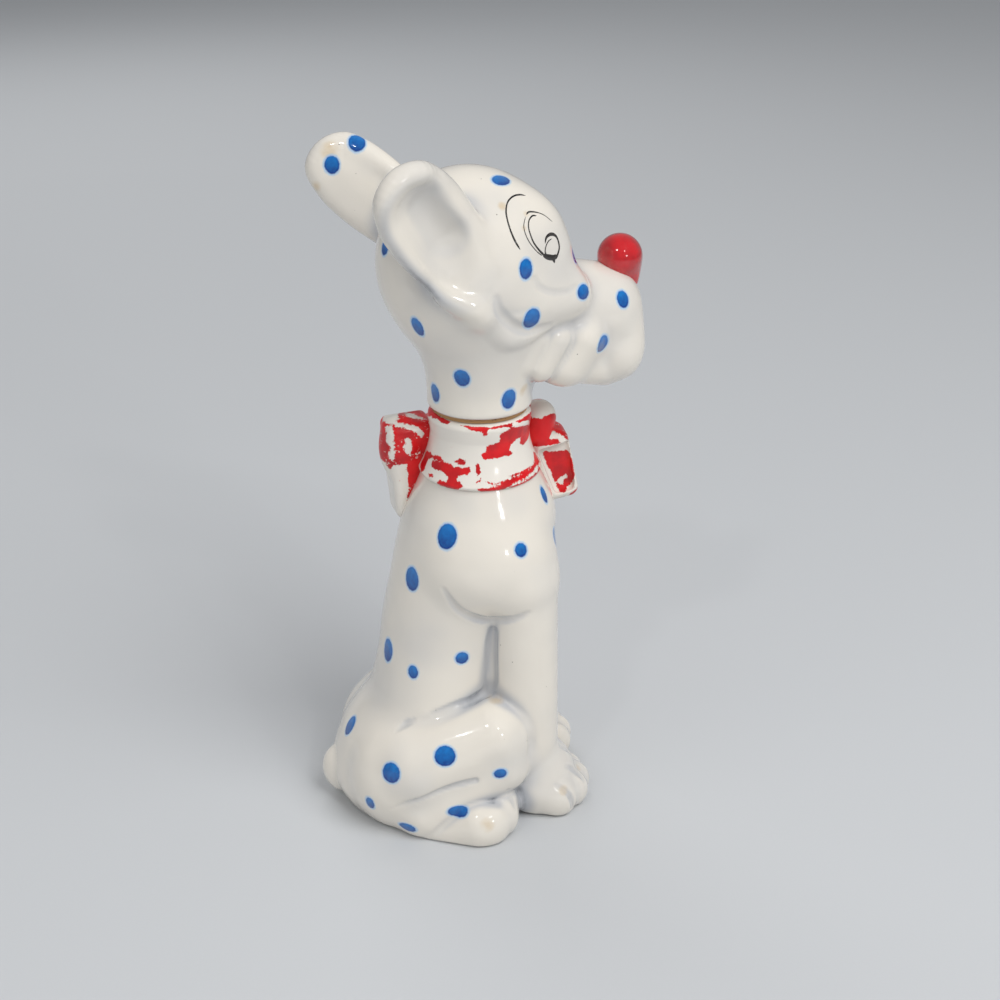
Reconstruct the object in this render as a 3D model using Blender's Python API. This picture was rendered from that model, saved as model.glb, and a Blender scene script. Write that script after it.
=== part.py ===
"""Ceramic dog decanter: a sitting dog whose body is the bottle and whose head is the stopper.

The dog stands on z = 0 and faces +X. The axis of the bottle's neck is the Z axis. Lengths are in
millimetres, and only the meshes are in metres.
"""

from dataclasses import dataclass
from math import cos, pi, radians, sin

import bmesh
import bpy
import numpy as np
from mathutils import Matrix, Vector

MM = 0.001

# Fits
GAP = 0.3
SLIP = 0.1

# Bottle
FOOT_THICKNESS = 5.0
WALL = 4.0
BORE_RADIUS = 11.6
NECK_WALL = 2.9
NECK_LENGTH = 20.2
LEDGE_HEIGHT = 136.0

# Collar
COLLAR_WALL = 3.1
COLLAR_FLARE = 3.9
COLLAR_LIP = 0.8
COLLAR_WAIST_HEIGHT = 9.5
SKIRT_DROP = 3.5
SKIRT_THICKNESS = 1.6
SKIRT_LEAN = 1.6

# Bow, tied on the dog's left: an angle from the front, and how far each piece stands out from the collar's waist
KNOT_ANGLE = 80.0
KNOT_WIDTH = 15.0
KNOT_HEIGHT = 17.0
KNOT_STAND = 13.1
WING_THICKNESS = 14.5
WING_DROP = 20.0
REAR_WING_STAND = 18.6
FRONT_WING_STAND = 19.1
FRONT_WING_RISE = 3.0
ROLL_RADIUS = 6.2

# Stopper
CORK_RIM_THICKNESS = 1.2
CORK_RIM_INSET = 0.9
CORK_LENGTH = 20.0
CORK_WALL = 3.0
CORK_BEVEL = 1.0
STEM_TIP = 4.5
STEM_WALL = 4.4

# Head, ears and nose
HEAD_TURN = 10.0
CHAMBER_RADIUS = 11.0
CHAMBER_LOW = 18.0
CHAMBER_HIGH = 58.0
EAR_RADIUS = 13.6
EAR_FLATNESS = 0.6
EAR_CUP_SHARE = 0.7
NOSE_RADIUS = 7.6

# Tail
TAIL_RADIUS = 7.0

# Fineness: cell and triangles of the modelled skins, and steps of turned pieces
CELL = 1.7
BODY_TRIANGLES = 3800
HEAD_TRIANGLES = 2600
EAR_TRIANGLES = 620
SMALL_TRIANGLES = 360
CUTTER_TRIANGLES = 3400
TURN_STEPS = 40

# Sizes that follow from those above
NECK_RADIUS = BORE_RADIUS + NECK_WALL
MOUTH_HEIGHT = LEDGE_HEIGHT + NECK_LENGTH
WAIST_RADIUS = NECK_RADIUS + GAP + COLLAR_WALL
RIM_RADIUS = WAIST_RADIUS + COLLAR_LIP
FLARE_RADIUS = WAIST_RADIUS + COLLAR_FLARE
CORK_RIM_RADIUS = RIM_RADIUS - CORK_RIM_INSET
STEM_RADIUS = BORE_RADIUS - GAP - CORK_WALL - GAP
VENT_RADIUS = STEM_RADIUS - STEM_WALL
STEM_LENGTH = GAP + CORK_RIM_THICKNESS + CORK_LENGTH + STEM_TIP
SEAT_HEIGHT = MOUTH_HEIGHT + GAP + CORK_RIM_THICKNESS + GAP


# Forms

@dataclass(frozen=True)
class Ball:
    """An ellipsoid, tilted about Y by so many degrees and blended into what it joins."""

    centre: tuple
    radii: tuple
    tilt: float = 0.0
    blend: float = 5.0

    def distance(self, points):
        turn = np.array(Matrix.Rotation(radians(self.tilt), 3, "Y"))
        local = (points - np.array(self.centre)) @ turn
        radii = np.array(self.radii)
        reach = np.linalg.norm(local / radii, axis=1)
        slope = np.linalg.norm(local / radii**2, axis=1) + 1e-9
        return reach * (reach - 1) / slope

    def add_to(self, bm):
        place = Matrix.Translation(self.centre) @ Matrix.Rotation(radians(self.tilt), 4, "Y")
        size = Matrix.Diagonal((*self.radii, 1))
        bmesh.ops.create_uvsphere(bm, u_segments=24, v_segments=16, radius=1, matrix=place @ size)


@dataclass(frozen=True)
class Limb:
    """A round bar that tapers between two ends, flattened along the direction side."""

    start: tuple
    end: tuple
    start_radius: float
    end_radius: float
    flatness: float = 1.0
    side: tuple = (0, 1, 0)
    blend: float = 5.0

    def distance(self, points):
        start = np.array(self.start, dtype=float)
        along = np.array(self.end, dtype=float) - start
        side = np.array(Vector(self.side).normalized())
        away = points - start
        share = np.clip(away @ along / (along @ along), 0, 1)
        off = away - share[:, None] * along
        off = off + (off @ side)[:, None] * side * (1 / self.flatness - 1)
        return np.linalg.norm(off, axis=1) - self.start_radius - (self.end_radius - self.start_radius) * share

    def add_to(self, bm):
        squash = Matrix.Scale(self.flatness, 4, Vector(self.side).normalized())
        for step in range(9):
            share = step / 8
            centre = Vector(self.start).lerp(Vector(self.end), share)
            radius = self.start_radius + (self.end_radius - self.start_radius) * share
            place = Matrix.Translation(centre) @ squash
            bmesh.ops.create_icosphere(bm, subdivisions=3, radius=radius, matrix=place)


@dataclass(frozen=True)
class Column:
    """An upright trunk through oval sections (height, middle x, half depth, half width)."""

    sections: tuple
    blend: float = 5.0

    def section(self, heights):
        rows = np.array(self.sections, dtype=float)
        return [smooth_curve(heights, rows[:, 0], rows[:, k]) for k in (1, 2, 3)]

    def distance(self, points):
        middle, depth, width = self.section(points[:, 2])
        reach = np.hypot((points[:, 0] - middle) / depth, points[:, 1] / width)
        ends = np.maximum(points[:, 2] - self.sections[-1][0], self.sections[0][0] - points[:, 2])
        return np.maximum((reach - 1) * np.minimum(depth, width), ends)

    def add_to(self, bm):
        heights = np.linspace(self.sections[0][0], self.sections[-1][0], 40)
        add_loft(bm, oval_rings(heights, *self.section(heights)))


def smooth_curve(x, knots, values):
    """Reads a curve that passes smoothly through the values at the knots."""
    slopes = np.gradient(values, knots)
    k = np.clip(np.searchsorted(knots, x) - 1, 0, len(knots) - 2)
    width = knots[k + 1] - knots[k]
    t = np.clip((x - knots[k]) / width, 0, 1)
    rise = 3 * t**2 - 2 * t**3
    lead_in = width * slopes[k] * (t**3 - 2 * t**2 + t)
    lead_out = width * slopes[k + 1] * (t**3 - t**2)
    return values[k] * (1 - rise) + values[k + 1] * rise + lead_in + lead_out


def oval_rings(heights, middles, depths, widths, steps=32):
    """Points of upright oval rings, one ring a height."""
    rings = []
    for height, middle, depth, width in zip(heights, middles, depths, widths):
        angles = [2 * pi * k / steps for k in range(steps)]
        rings.append([(middle + depth * cos(a), width * sin(a), height) for a in angles])
    return rings


def add_loft(bm, rings):
    """Skins a row of rings into one closed body."""
    loops = [[bm.verts.new(point) for point in ring] for ring in rings]
    for lower, upper in zip(loops, loops[1:]):
        for k in range(len(lower)):
            after = (k + 1) % len(lower)
            bm.faces.new((lower[k], lower[after], upper[after], upper[k]))
    bm.faces.new(reversed(loops[0]))
    bm.faces.new(loops[-1])


def soft_union(first, second, blend):
    """The lower of two distances, rounded where they are nearly equal."""
    near = np.maximum(blend - np.abs(first - second), 0) / blend
    return np.minimum(first, second) - near**2 * blend / 4


@dataclass(frozen=True)
class Form:
    """A smooth body: forms blended together in order, less the hollows."""

    lumps: tuple
    hollows: tuple = ()
    mirrored: bool = False

    def distance(self, points):
        if self.mirrored:
            points = np.column_stack([points[:, 0], np.abs(points[:, 1]), points[:, 2]])
        value = self.lumps[0].distance(points)
        for lump in self.lumps[1:]:
            value = soft_union(value, lump.distance(points), lump.blend)
        for hollow in self.hollows:
            value = -soft_union(-value, hollow.distance(points), hollow.blend)
        return value


# Tools

def clear_scene():
    for thing in list(bpy.data.objects):
        bpy.data.objects.remove(thing)


def new_object(name, bm, parent=None, smooth=True):
    """Puts a mesh in millimetres into the scene, in metres."""
    bmesh.ops.scale(bm, vec=(MM, MM, MM), verts=bm.verts)
    bmesh.ops.recalc_face_normals(bm, faces=bm.faces)
    mesh = bpy.data.meshes.new(name)
    bm.to_mesh(mesh)
    bm.free()
    if smooth:
        mesh.shade_smooth()
        mesh.set_sharp_from_angle(angle=radians(40))
    thing = bpy.data.objects.new(name, mesh)
    bpy.context.collection.objects.link(thing)
    thing.parent = parent
    return thing


def hide_cutter(thing):
    thing.hide_render = True
    thing.display_type = "WIRE"
    return thing


def cut(thing, cutter):
    modifier = thing.modifiers.new("cut by " + cutter.name, "BOOLEAN")
    modifier.operation = "DIFFERENCE"
    modifier.solver = "EXACT"
    modifier.object = cutter


def settled(points, form, level):
    """Moves points along the slope of a form's distance until it equals level."""
    step = 0.05
    for _ in range(10):
        value = form.distance(points) - level
        slope = np.column_stack([
            (form.distance(points + shift) - form.distance(points - shift)) / (2 * step)
            for shift in np.eye(3) * step
        ])
        move = value / np.maximum((slope**2).sum(axis=1), 0.05)
        points = points - np.clip(move, -1.5, 1.5)[:, None] * slope
    return points


def skin(name, form, triangles, parent=None, level=0.0):
    """Models a form's closed skin from primitives, and level millimetres outside it."""
    bm = bmesh.new()
    for lump in form.lumps:
        lump.add_to(bm)
    if form.mirrored:
        twin = bmesh.ops.duplicate(bm, geom=bm.verts[:] + bm.edges[:] + bm.faces[:])
        verts = [item for item in twin["geom"] if isinstance(item, bmesh.types.BMVert)]
        faces = [item for item in twin["geom"] if isinstance(item, bmesh.types.BMFace)]
        bmesh.ops.scale(bm, vec=(1, -1, 1), verts=verts)
        bmesh.ops.reverse_faces(bm, faces=faces)
    rough = bpy.data.meshes.new(name + " rough")
    bm.to_mesh(rough)
    bm.free()
    draft = bpy.data.objects.new(name + " draft", rough)
    bpy.context.collection.objects.link(draft)
    remesh = draft.modifiers.new("one skin", "REMESH")
    remesh.mode = "VOXEL"
    remesh.voxel_size = CELL
    even = evaluated_mesh(draft)
    points = np.array([vertex.co for vertex in even.vertices], dtype=float)
    even.vertices.foreach_set("co", settled(points, form, level).astype(np.float32).ravel())
    draft.modifiers.clear()
    draft.data = even
    thin = draft.modifiers.new("fewer faces", "DECIMATE")
    thin.ratio = min(1.0, triangles / (2 * len(even.polygons)))
    bm = bmesh.new()
    bm.from_mesh(evaluated_mesh(draft))
    bpy.data.objects.remove(draft)
    return new_object(name, bm, parent)


def evaluated_mesh(thing):
    """The mesh that an object's modifiers leave."""
    graph = bpy.context.evaluated_depsgraph_get()
    return bpy.data.meshes.new_from_object(thing.evaluated_get(graph))


def turned(name, profile, parent=None):
    """Spins a closed profile of (radius, height) points about Z."""
    bm = bmesh.new()
    verts = [bm.verts.new((radius, 0, height)) for radius, height in profile]
    edges = [bm.edges.new((a, b)) for a, b in zip(verts, verts[1:] + verts[:1])]
    bmesh.ops.spin(bm, geom=verts + edges, axis=(0, 0, 1), cent=(0, 0, 0), angle=2 * pi, steps=TURN_STEPS,
                   use_merge=True)
    bmesh.ops.remove_doubles(bm, verts=bm.verts, dist=0.001)
    loose = [edge for edge in bm.edges if edge.is_wire]
    bmesh.ops.delete(bm, geom=loose, context="EDGES")
    return new_object(name, bm, parent)


def material(thing, colour, roughness, coat=0.0):
    """Gives a piece its own plain material."""
    paint = bpy.data.materials.new(thing.name)
    paint.use_nodes = True
    shader = paint.node_tree.nodes["Principled BSDF"]
    shader.inputs["Base Color"].default_value = (*colour, 1)
    shader.inputs["Roughness"].default_value = roughness
    shader.inputs["Metallic"].default_value = 0.0
    shader.inputs["Coat Weight"].default_value = coat
    thing.data.materials.clear()
    thing.data.materials.append(paint)


# Colours
GLAZE = (0.80, 0.78, 0.74)
WORN_RED = (0.60, 0.04, 0.05)
NOSE_RED = (0.60, 0.01, 0.02)
CORK = (0.38, 0.24, 0.12)


# The bottle

TORSO = Column((
    (0, -23, 27, 29),
    (10, -23, 28, 30),
    (28, -22, 27, 29),
    (47, -18, 24, 27),
    (LEDGE_HEIGHT - 74, -14.5, 24, 25.5),
    (LEDGE_HEIGHT - 59, -10.5, 26, 26),
    (LEDGE_HEIGHT - 44, -6, 27.4, 26.5),
    (LEDGE_HEIGHT - 31, -3, 27.8, 27.5),
    (LEDGE_HEIGHT - 19, -1.5, 26.2, 26.3),
    (LEDGE_HEIGHT - 9, -0.6, 22.6, 22.8),
    (LEDGE_HEIGHT, 0, NECK_RADIUS + 4.5, NECK_RADIUS + 4.5),
    (LEDGE_HEIGHT + 8, 0, NECK_RADIUS + 3, NECK_RADIUS + 3),
    (MOUTH_HEIGHT + 6, 0, NECK_RADIUS + 2, NECK_RADIUS + 2),
))
RUMP = Ball((-25, 0, 18), (30, 34, 25), blend=10)
SHOULDER = Ball((3, 13, LEDGE_HEIGHT - 35), (22.5, 17, 27), tilt=8, blend=3)
FORELEG = Limb((11, 16.5, LEDGE_HEIGHT - 44), (13.2, 18, 14), 13.0, 11.8, blend=3)
THIGH = Ball((-26.5, 18, 19), (26, 19, 23.5), tilt=-12, blend=5)
KNEE = Limb((-28, 22, 22), (-5, 26, 37), 16, 14.5, blend=6)
SHIN = Limb((-34, 27.5, 11), (-4, 33, 11), 9.5, 9, blend=2.5)
HIND_PAW = Ball((-5, 35.5, 8), (12, 10.5, 11), blend=3)
FORE_PAW = Ball((19.5, 19, 9), (13.5, 12.5, 12), blend=5)
TOE_BLEND = 2.0


def toes(places, length, height):
    """Rounded toes at (x, y, radius)."""
    return [Ball((x, y, 0.55 * height + 2.4), (radius + length, radius, height), blend=TOE_BLEND)
            for x, y, radius in places]


HIND_TOES = toes(((2.5, 31, 5.0), (3.5, 37, 5.2), (0.5, 42, 4.8)), 1.5, 6.2)
FORE_TOES = toes(((31, 11, 4.5), (33, 17, 4.8), (31.5, 23.3, 4.7), (26, 28, 4.4)), 1.8, 7.0)

BODY = Form(
    (TORSO, RUMP, SHOULDER, FORELEG, THIGH, KNEE, SHIN, HIND_PAW, *HIND_TOES, FORE_PAW, *FORE_TOES),
    mirrored=True,
)


def seat_profile(clearance):
    """The turned outline that the collar takes up, from its skirt in to the neck and up to the mouth."""
    far = 60.0
    skirt_bottom = LEDGE_HEIGHT - SKIRT_DROP - clearance
    inner = FLARE_RADIUS - SKIRT_THICKNESS - clearance
    return [
        (0, MOUTH_HEIGHT),
        (NECK_RADIUS, MOUTH_HEIGHT),
        (NECK_RADIUS, LEDGE_HEIGHT),
        (inner - SKIRT_LEAN, LEDGE_HEIGHT),
        (inner, skirt_bottom),
        (far, skirt_bottom),
        (far, MOUTH_HEIGHT + far),
        (0, MOUTH_HEIGHT + far),
    ]


def build_bottle():
    """The hollow casting: body, legs and paws in one, with the neck and its mouth."""
    bottle = skin("bottle_body", BODY, BODY_TRIANGLES)
    cut(bottle, hide_cutter(turned("collar seat", seat_profile(GAP))))

    heights = np.linspace(FOOT_THICKNESS, LEDGE_HEIGHT - 9, 22)
    middle, depth, width = TORSO.section(heights)
    rings = oval_rings(heights, middle, depth - WALL, width - WALL)
    bore_heights = (LEDGE_HEIGHT - 1, MOUTH_HEIGHT + 4)
    rings += oval_rings(bore_heights, (0, 0), (BORE_RADIUS, BORE_RADIUS), (BORE_RADIUS, BORE_RADIUS))
    bm = bmesh.new()
    add_loft(bm, rings)
    cut(bottle, hide_cutter(new_object("bottle inside", bm)))

    bm = bmesh.new()
    bmesh.ops.create_cube(bm, size=1, matrix=Matrix.Translation((0, 0, -20)) @ Matrix.Diagonal((200, 200, 40, 1)))
    cut(bottle, hide_cutter(new_object("ground", bm)))
    material(bottle, GLAZE, 0.12, 0.6)
    return bottle


def build_tail():
    """The tail stub, luted on the rump."""
    form = Form((Limb((-47, 0, 16), (-55.6, 0, 11.8), TAIL_RADIUS, TAIL_RADIUS - 0.6),))
    tail = skin("tail", form, SMALL_TRIANGLES)
    cut(tail, bpy.data.objects["body outside"])
    material(tail, GLAZE, 0.12, 0.6)


# The collar and the bow

def collar_outside(clearance=0.0):
    """The collar's outer face as (radius, height), from its flared bottom rim to its top rim."""
    bottom = LEDGE_HEIGHT - SKIRT_DROP
    waist = LEDGE_HEIGHT + COLLAR_WAIST_HEIGHT
    face = []
    for step in range(7):
        share = step / 6
        flare = (FLARE_RADIUS - WAIST_RADIUS) * (1 - share) ** 1.8
        face.append((WAIST_RADIUS + flare + clearance, bottom + (waist - bottom) * share))
    face.append((RIM_RADIUS + clearance, MOUTH_HEIGHT - 1.2))
    face.append((RIM_RADIUS - 0.5 + clearance, MOUTH_HEIGHT))
    return face


def build_collar():
    """The flared band round the neck, standing on the ledge with its skirt hanging over the shoulder."""
    inner = FLARE_RADIUS - SKIRT_THICKNESS
    profile = collar_outside() + [
        (NECK_RADIUS + GAP, MOUTH_HEIGHT),
        (NECK_RADIUS + GAP, LEDGE_HEIGHT + GAP),
        (inner - SKIRT_LEAN, LEDGE_HEIGHT + GAP),
        (inner, LEDGE_HEIGHT - SKIRT_DROP),
    ]
    collar = turned("collar_band", profile)
    material(collar, WORN_RED, 0.45)


def bow_section(angle, inner, outer, bottom, top, corner=2.2):
    """A rounded box across the ribbon at an angle round the neck."""
    corner = min(corner, 0.45 * (outer - inner), 0.45 * (top - bottom))
    middles = (
        (outer - corner, top - corner, 0),
        (inner + corner, top - corner, 90),
        (inner + corner, bottom + corner, 180),
        (outer - corner, bottom + corner, 270),
    )
    ring = []
    for radius, height, start in middles:
        for turn in (0, 45, 90):
            bend = radians(start + turn)
            reach = radius + corner * cos(bend)
            ring.append((reach * cos(radians(angle)), reach * sin(radians(angle)), height + corner * sin(bend)))
    return ring


def ribbon(name, stations):
    """A ribbon piece lofted through stations (angle, inner, outer, bottom, top)."""
    bm = bmesh.new()
    add_loft(bm, [bow_section(*station) for station in stations])
    piece = new_object(name, bm)
    cut(piece, bpy.data.objects["collar outside"])
    cut(piece, bpy.data.objects["body outside"])
    material(piece, WORN_RED, 0.45)
    return piece


def build_bow():
    """The bow on the collar: a knot with a wing fore and aft, and a roll over the front wing."""
    hide_cutter(turned("collar outside", collar_outside(GAP) + [(0, MOUTH_HEIGHT), (0, LEDGE_HEIGHT - SKIRT_DROP)]))
    inside = WAIST_RADIUS - 1
    knot_reach = WAIST_RADIUS + KNOT_STAND
    rear_reach = WAIST_RADIUS + REAR_WING_STAND
    front_reach = WAIST_RADIUS + FRONT_WING_STAND
    wing_bottom = LEDGE_HEIGHT - WING_DROP
    half = KNOT_WIDTH / knot_reach * 90 / pi
    knot_low = LEDGE_HEIGHT - SKIRT_DROP + 1
    knot_high = knot_low + KNOT_HEIGHT
    ribbon("bow_knot", (
        (KNOT_ANGLE - half, inside, knot_reach - 3, knot_low + 2, knot_high - 2),
        (KNOT_ANGLE - half / 2, inside, knot_reach, knot_low, knot_high),
        (KNOT_ANGLE + half / 2, inside, knot_reach, knot_low, knot_high),
        (KNOT_ANGLE + half, inside, knot_reach - 3, knot_low + 2, knot_high - 2),
    ))
    clear = half + 1.0
    top = MOUTH_HEIGHT - 5.5
    ribbon("bow_rear_wing", (
        (KNOT_ANGLE + clear, inside, knot_reach - 5, knot_low + 3, knot_high - 5),
        (KNOT_ANGLE + 42, rear_reach - WING_THICKNESS - 1, rear_reach - 1, wing_bottom + 3, top),
        (KNOT_ANGLE + 66, rear_reach - WING_THICKNESS, rear_reach, wing_bottom, top),
        (KNOT_ANGLE + 88, rear_reach - WING_THICKNESS - 2, rear_reach - 1.5, wing_bottom + 1, top - 0.5),
    ))
    low_top = LEDGE_HEIGHT + FRONT_WING_RISE
    ribbon("bow_front_wing", (
        (KNOT_ANGLE - clear, inside, knot_reach - 5, knot_low + 3, low_top + 1.5),
        (KNOT_ANGLE - 38, front_reach - WING_THICKNESS - 2, front_reach - 2, wing_bottom + 1, low_top + 1),
        (KNOT_ANGLE - 57, front_reach - WING_THICKNESS, front_reach, wing_bottom, low_top),
        (KNOT_ANGLE - 69, front_reach - WING_THICKNESS, front_reach, wing_bottom + 1, low_top - 1.5),
    ))
    roll_bottom = low_top + GAP + 1.2
    roll_top = MOUTH_HEIGHT - 3
    spin = radians(KNOT_ANGLE - 48)
    reach = WAIST_RADIUS + ROLL_RADIUS
    centre = (reach * cos(spin), reach * sin(spin))
    rings = []
    for share, swell in ((0, 0.75), (0.12, 1), (0.5, 1.05), (0.82, 1), (1, 0.6)):
        radius = ROLL_RADIUS * swell
        height = roll_bottom + (roll_top - roll_bottom) * share
        angles = [2 * pi * k / 16 for k in range(16)]
        rings.append([(centre[0] + radius * cos(a), centre[1] + radius * sin(a), height) for a in angles])
    bm = bmesh.new()
    add_loft(bm, rings)
    roll = new_object("bow_front_roll", bm)
    cut(roll, bpy.data.objects["collar outside"])
    material(roll, WORN_RED, 0.45)


# The stopper: head and cork. Heights in the head are above its seat.

NECK = Column((
    (-STEM_LENGTH - 6, 0, CORK_RIM_RADIUS + 0.8, CORK_RIM_RADIUS + 0.8),
    (0, 0, CORK_RIM_RADIUS + 0.8, CORK_RIM_RADIUS + 0.8),
    (7, 0.2, 18.8, 18.8),
    (14, 0.8, 20.3, 20.0),
    (21, 1.0, 23.0, 21.6),
    (29, 0.5, 26, 23.5),
    (37, 0, 27, 25),
))
SKULL = Ball((-4, 0, 51.5), (31.5, 29, 32.5), blend=5)
BROW = Ball((10, 8, 57), (18, 14, 18), tilt=30, blend=8)
MUZZLE = Limb((24, 0, 33), (44, 0, 30), 17, 16, blend=8)
SNOUT = Ball((50, 0, 18), (11.5, 14, 14), blend=5)
CHIN = Ball((30, 0, 18), (20, 16, 11.5), blend=6)
CHEEK = Ball((10, 9, 41), (23, 18.5, 15.5), tilt=10, blend=2.5)
JOWL = Limb((-8, 20, 40), (10, 18, 33), 7, 8.5, blend=5)
EYE_BAG = Ball((21, 12, 49), (8, 8, 7), blend=4)
FLEWS = [Ball((x, y, z), (0.85 * radius, radius, 1.35 * radius), tilt=-20, blend=2.5)
         for x, y, z, radius in ((17, 15, 20, 8), (26.5, 14.5, 17.5, 8.5), (36.5, 12, 16, 9), (48, 6, 14.5, 9.5))]
HEAD = Form((NECK, SKULL, BROW, MUZZLE, SNOUT, CHIN, *FLEWS, CHEEK, JOWL, EYE_BAG), mirrored=True)

# Each ear's root, tip, side of the head and radius
EARS = {
    "ear_right": ((-14, -26, 55), (-35, -32, 80.5), -1, EAR_RADIUS),
    "ear_left": ((-14, 26, 52), (-37.5, 32, 76.5), 1, EAR_RADIUS - 1.2),
}


def build_head(axis):
    """The head with its stem, which goes through the cork. A chamber in the head is vented through the stem."""
    head = skin("head_shell", HEAD, HEAD_TRIANGLES, axis)
    stem_bottom = -STEM_LENGTH
    far = 60.0
    cut(head, hide_cutter(turned("head foot", [
        (far, 0), (STEM_RADIUS, 0), (STEM_RADIUS, stem_bottom + CORK_BEVEL), (STEM_RADIUS - CORK_BEVEL, stem_bottom),
        (0, stem_bottom), (0, -far), (far, -far),
    ], axis)))
    shoulder = CHAMBER_RADIUS - VENT_RADIUS
    cut(head, hide_cutter(turned("head inside", [
        (0, stem_bottom - 4), (VENT_RADIUS, stem_bottom - 4), (VENT_RADIUS, CHAMBER_LOW - shoulder),
        (CHAMBER_RADIUS, CHAMBER_LOW), (CHAMBER_RADIUS, CHAMBER_HIGH), (VENT_RADIUS, CHAMBER_HIGH + shoulder),
        (0, CHAMBER_HIGH + shoulder),
    ], axis)))
    material(head, GLAZE, 0.12, 0.6)
    hide_cutter(skin("head outside", HEAD, CUTTER_TRIANGLES, axis, level=GAP + SLIP))


def build_ears(axis):
    """Two rounded ears with their cups turned outwards, luted to the sides of the head."""
    for name, (root, tip, hand, radius) in EARS.items():
        side = Vector((0.1, 0.97 * hand, 0)).normalized()
        inner_root = Vector(root).lerp(Vector(tip), 0.1) + side * 9
        inner_tip = Vector(tip) + side * 10.5
        cup_radius = EAR_CUP_SHARE * radius
        cup = Limb(tuple(inner_root), tuple(inner_tip), cup_radius, cup_radius, 0.7, tuple(side), 4)
        form = Form((Limb(root, tip, radius, radius, EAR_FLATNESS, tuple(side)),), (cup,))
        ear = skin(name, form, EAR_TRIANGLES, axis)
        cut(ear, bpy.data.objects["head outside"])
        material(ear, GLAZE, 0.12, 0.6)


def build_nose(axis):
    """The red ball nose with its drop-shaped root."""
    form = Form((Ball((52.4, 0, 46.8), (NOSE_RADIUS, NOSE_RADIUS, NOSE_RADIUS)),
                 Ball((55.4, 0, 39.8), (0.55 * NOSE_RADIUS, 0.55 * NOSE_RADIUS, 0.8 * NOSE_RADIUS), blend=3)))
    nose = skin("nose_ball", form, SMALL_TRIANGLES, axis)
    cut(nose, bpy.data.objects["head outside"])
    material(nose, NOSE_RED, 0.1, 0.8)


def build_cork():
    """The cork round the stem, with the thin rim that shows under the head."""
    top = MOUTH_HEIGHT + GAP + CORK_RIM_THICKNESS
    outer = BORE_RADIUS - GAP
    bottom = top - CORK_RIM_THICKNESS - CORK_LENGTH
    cork = turned("cork_sleeve", [
        (STEM_RADIUS + GAP, top),
        (CORK_RIM_RADIUS, top),
        (CORK_RIM_RADIUS, top - CORK_RIM_THICKNESS),
        (outer, top - CORK_RIM_THICKNESS),
        (outer, bottom + CORK_BEVEL),
        (outer - CORK_BEVEL, bottom),
        (STEM_RADIUS + GAP, bottom),
    ])
    material(cork, CORK, 0.9)


def main():
    clear_scene()
    hide_cutter(skin("body outside", BODY, CUTTER_TRIANGLES, level=GAP + SLIP))
    build_bottle()
    build_tail()
    build_collar()
    build_bow()
    build_cork()
    axis = bpy.data.objects.new("head_axis", None)
    bpy.context.collection.objects.link(axis)
    axis.location = (0, 0, SEAT_HEIGHT * MM)
    axis.rotation_euler = (0, 0, radians(HEAD_TURN))
    build_head(axis)
    build_ears(axis)
    build_nose(axis)


main()
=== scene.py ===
"""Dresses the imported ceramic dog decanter: fine glazed castings, worn red paint, cork and a soft studio."""

import logging
from abc import ABC, abstractmethod
from dataclasses import dataclass, field
from enum import Enum
from math import cos, pi, radians, sin, sqrt

import bpy
import numpy as np
from mathutils import Euler, Matrix, Vector


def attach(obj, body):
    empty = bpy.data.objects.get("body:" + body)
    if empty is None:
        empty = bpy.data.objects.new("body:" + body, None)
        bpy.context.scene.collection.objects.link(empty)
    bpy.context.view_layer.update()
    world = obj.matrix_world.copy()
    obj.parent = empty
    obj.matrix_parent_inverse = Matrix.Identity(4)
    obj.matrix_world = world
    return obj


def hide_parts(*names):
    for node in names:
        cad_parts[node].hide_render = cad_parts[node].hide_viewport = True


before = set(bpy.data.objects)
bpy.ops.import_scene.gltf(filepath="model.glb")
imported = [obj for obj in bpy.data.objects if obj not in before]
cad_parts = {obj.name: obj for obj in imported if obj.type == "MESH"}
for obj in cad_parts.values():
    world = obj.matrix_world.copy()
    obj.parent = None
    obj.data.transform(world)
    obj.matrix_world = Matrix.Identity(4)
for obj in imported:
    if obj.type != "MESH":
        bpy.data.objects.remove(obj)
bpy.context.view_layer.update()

log = logging.getLogger("decanter")

# Lengths are in millimetres and angles in degrees, until a mesh is made in metres.
MM = 0.001
HEAD_SEAT = 158.0
HEAD_TURN = 10.0
FINE_CELL = 0.9
FAR = 1e3
ROPE_REACH = 14.0
DOT_DEPTH = 3.5
DOT_FAR = 9.0
CREASE_REACH = 2.0
HOLLOW_REACH = 7.0
CREASE_GAIN = 1.6
SHARP_ANGLE = 50.0
COARSE = 3
NEAR_BAND = 1.7


# Shader maths


def tint(red: float, green: float, blue: float) -> tuple[float, float, float, float]:
    """Turns a colour of 0 to 255 as a screen shows it into linear light.

    Args:
        red: Red share.
        green: Green share.
        blue: Blue share.

    Returns:
        The linear colour, with full alpha.
    """
    shares = [value / 255 for value in (red, green, blue)]
    linear = [s / 12.92 if s <= 0.04045 else ((s + 0.055) / 1.055) ** 2.4 for s in shares]
    return (*linear, 1.0)


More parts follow.
